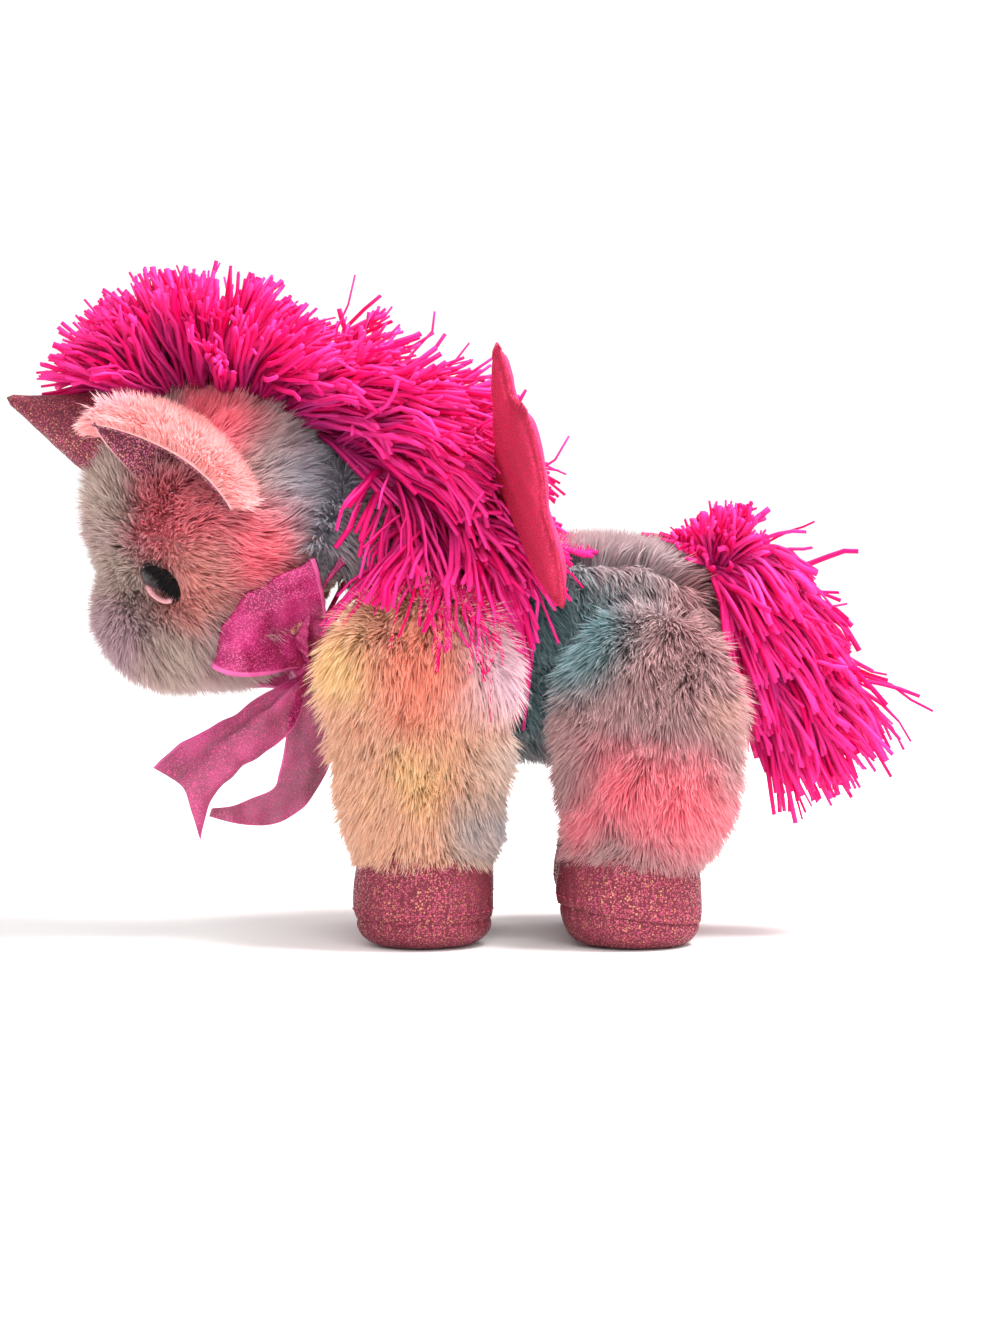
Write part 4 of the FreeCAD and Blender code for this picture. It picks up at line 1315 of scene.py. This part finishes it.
def wing_half(name, facing):
    """The front (facing -1) or back (1) half of the left wing as a closed shell."""
    bm = bmesh.new()
    bmesh.ops.create_grid(bm, x_segments=76, y_segments=84, size=0.5)
    for v in bm.verts:
        v.co = ((v.co.x + 0.5) * 0.072 - 0.002, v.co.y * 0.080 + 0.016, 0)
    outside = [v for v in bm.verts if not within_wing(v.co.x, v.co.y)]
    bmesh.ops.delete(bm, geom=outside, context="VERTS")
    bmesh.ops.delete(bm, geom=[v for v in bm.verts if len(v.link_faces) < 2], context="VERTS")
    for v in [v for v in bm.verts if v.is_boundary]:
        v.co = edge_tree.find(v.co)[0]
    bmesh.ops.triangulate(bm, faces=[f for f in bm.faces if f.calc_area() < 1e-8])
    flat = {v: edge_tree.find(v.co)[2] if not v.is_boundary else 0.0 for v in bm.verts}
    bmesh.ops.recalc_face_normals(bm, faces=bm.faces)
    bmesh.ops.duplicate(bm, geom=bm.verts[:] + bm.edges[:] + bm.faces[:])
    for v, d in flat.items():
        v.co.z = pillow(d) + 0.00030 * math.sin(v.co.x * 420 + v.co.y * 260) * min(1, d / 0.008)
    bmesh.ops.remove_doubles(bm, verts=[v for v in bm.verts if v.is_boundary], dist=1e-5)
    for v in bm.verts:
        depth = v.co.z * facing
        v.co = wing_turn @ Vector((depth, -v.co.x, v.co.y)) + Vector(WING_ROOT)
    bmesh.ops.recalc_face_normals(bm, faces=bm.faces)
    return built(bm, name)


FINE_DOTS = 2300.0
wing_glitter = foil_material(
    "wing_glitter", (0.36, 0.0010, 0.034), (0.72, 0.022, 0.13), tip=0.5, colours=0.10, size=FINE_DOTS,
)
wing_backing = foil_material(
    "wing_backing", (0.66, 0.005, 0.10), (0.85, 0.05, 0.22), tip=0.35, colours=0.05, size=FINE_DOTS,
)
for side, flip in (("left", 1), ("right", -1)):
    for face_name, facing, cloth, gone, slot in (
        ("front", -1, wing_glitter, (f"wing_{side}_front", f"wing_{side}_padding"), "wing_front_cloth"),
        ("rear", 1, wing_backing, (f"wing_{side}_back",), "wing_back_cloth"),
    ):
        half = wing_half(f"wing_{side}_{face_name}_cloth", facing)
        if flip < 0:
            bm = bmesh.new()
            bm.from_mesh(half.data)
            bmesh.ops.scale(bm, vec=(1, -1, 1), verts=bm.verts)
            bmesh.ops.recalc_face_normals(bm, faces=bm.faces)
            bm.to_mesh(half.data)
            bm.free()
        half.data.materials.append(cloth)
        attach(half, f"wing_{side}")
        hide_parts(*gone)

# ---- Tail ---------------------------------------------------------------------------------------
# The same fringe is wound round a short stuffed core of pink cloth, thick at the root, and falls away
# from the rump to a soft point.

rng = np.random.default_rng(141)
count = 2400
locks = count // PER_LOCK
lock = rng.integers(0, locks, count)
s = np.clip(rng.random(locks)[lock] ** 1.2 + rng.normal(scale=0.02, size=count), 0, 1)
core_line = np.array([(0.0750, 0.1070), (0.0800, 0.1030), (0.0870, 0.0920), (0.0930, 0.0790)])
at = s * (len(core_line) - 1)
core_at = np.stack([np.interp(at, np.arange(len(core_line)), core_line[:, i]) for i in (0, 1)], axis=1)
turn = rng.uniform(0, 2 * math.pi, locks)[lock] + rng.normal(scale=0.12, size=count)
# The core runs down and back; across it, one way is +Y and the other is up and back.
around = np.cos(turn)[:, None] * np.array([0.80, 0, 0.60]) + np.sin(turn)[:, None] * np.array([0, 1.0, 0])
root = np.stack([core_at[:, 0], np.zeros(count), core_at[:, 1]], axis=1)
root += around * (0.0058 * (1 - 0.45 * s))[:, None]
loose = rng.normal(scale=0.13, size=(locks, 3))[lock] + rng.normal(scale=0.05, size=(count, 3))
lifted = np.array([-0.10, 0, 0.5]) * (1 - s)[:, None] ** 3
first = around * (0.55 - 0.35 * s)[:, None] + np.array([0.42, 0, -0.55]) + lifted + loose
last = np.array([0.40, 0, -0.92]) + around * (0.14 - 0.08 * s)[:, None] + loose
long = (rng.uniform(0.030, 0.044, locks)[lock] + rng.normal(scale=0.0015, size=count)) * (0.72 + 0.36 * s)
first[:, 0] = np.maximum(first[:, 0], 0.05)
last[:, 0] = np.maximum(last[:, 0], 0.15)
# Near the root some locks stand up over the rump.
tuft = (s < 0.30) & (rng.random(locks)[lock] < 0.42)
first[tuft] = around[tuft] * 0.4 + np.array([-0.05, 0, 0.9]) + loose[tuft] * 2
last[tuft] = first[tuft] + np.array([0.15, 0, 0.0]) + loose[tuft]
long[tuft] *= 0.56
wild = rng.random(count) < 0.03
last[wild] = first[wild] + rng.normal(scale=0.2, size=(wild.sum(), 3)) + [0.2, 0, 0]
# Centres and radii of the rump and the hind legs' tops, which the bundles lie over.
RUMP = [
    ((0.052, 0, 0.083), (0.0345, 0.036, 0.0345)),
    ((0.057, -0.030, 0.066), (0.029, 0.0145, 0.035)),
    ((0.057, 0.030, 0.066), (0.029, 0.0145, 0.035)),
]
tail_fringe = fringe(
    "tail_fringe", root, first, last, long, rng.uniform(0.00055, 0.00105, count), 142,
    RUMP,
)
tail_fringe.data.materials.append(hot_pink)
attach(tail_fringe, "tail")
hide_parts("tail_hair")
tail_core = cushion("tail_core", "tail_core_cloth", 0.0)
bare(tail_core)
core_cloth = fur_material("tail_core_dye", (0.80, 0.03, 0.20), [((0.85, 0.04, 0.25), 0.09, 0.09, 0.02)])
tail_core.data.materials.append(core_cloth)
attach(tail_core, "tail")
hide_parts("tail_core")

bpy.context.view_layer.update()
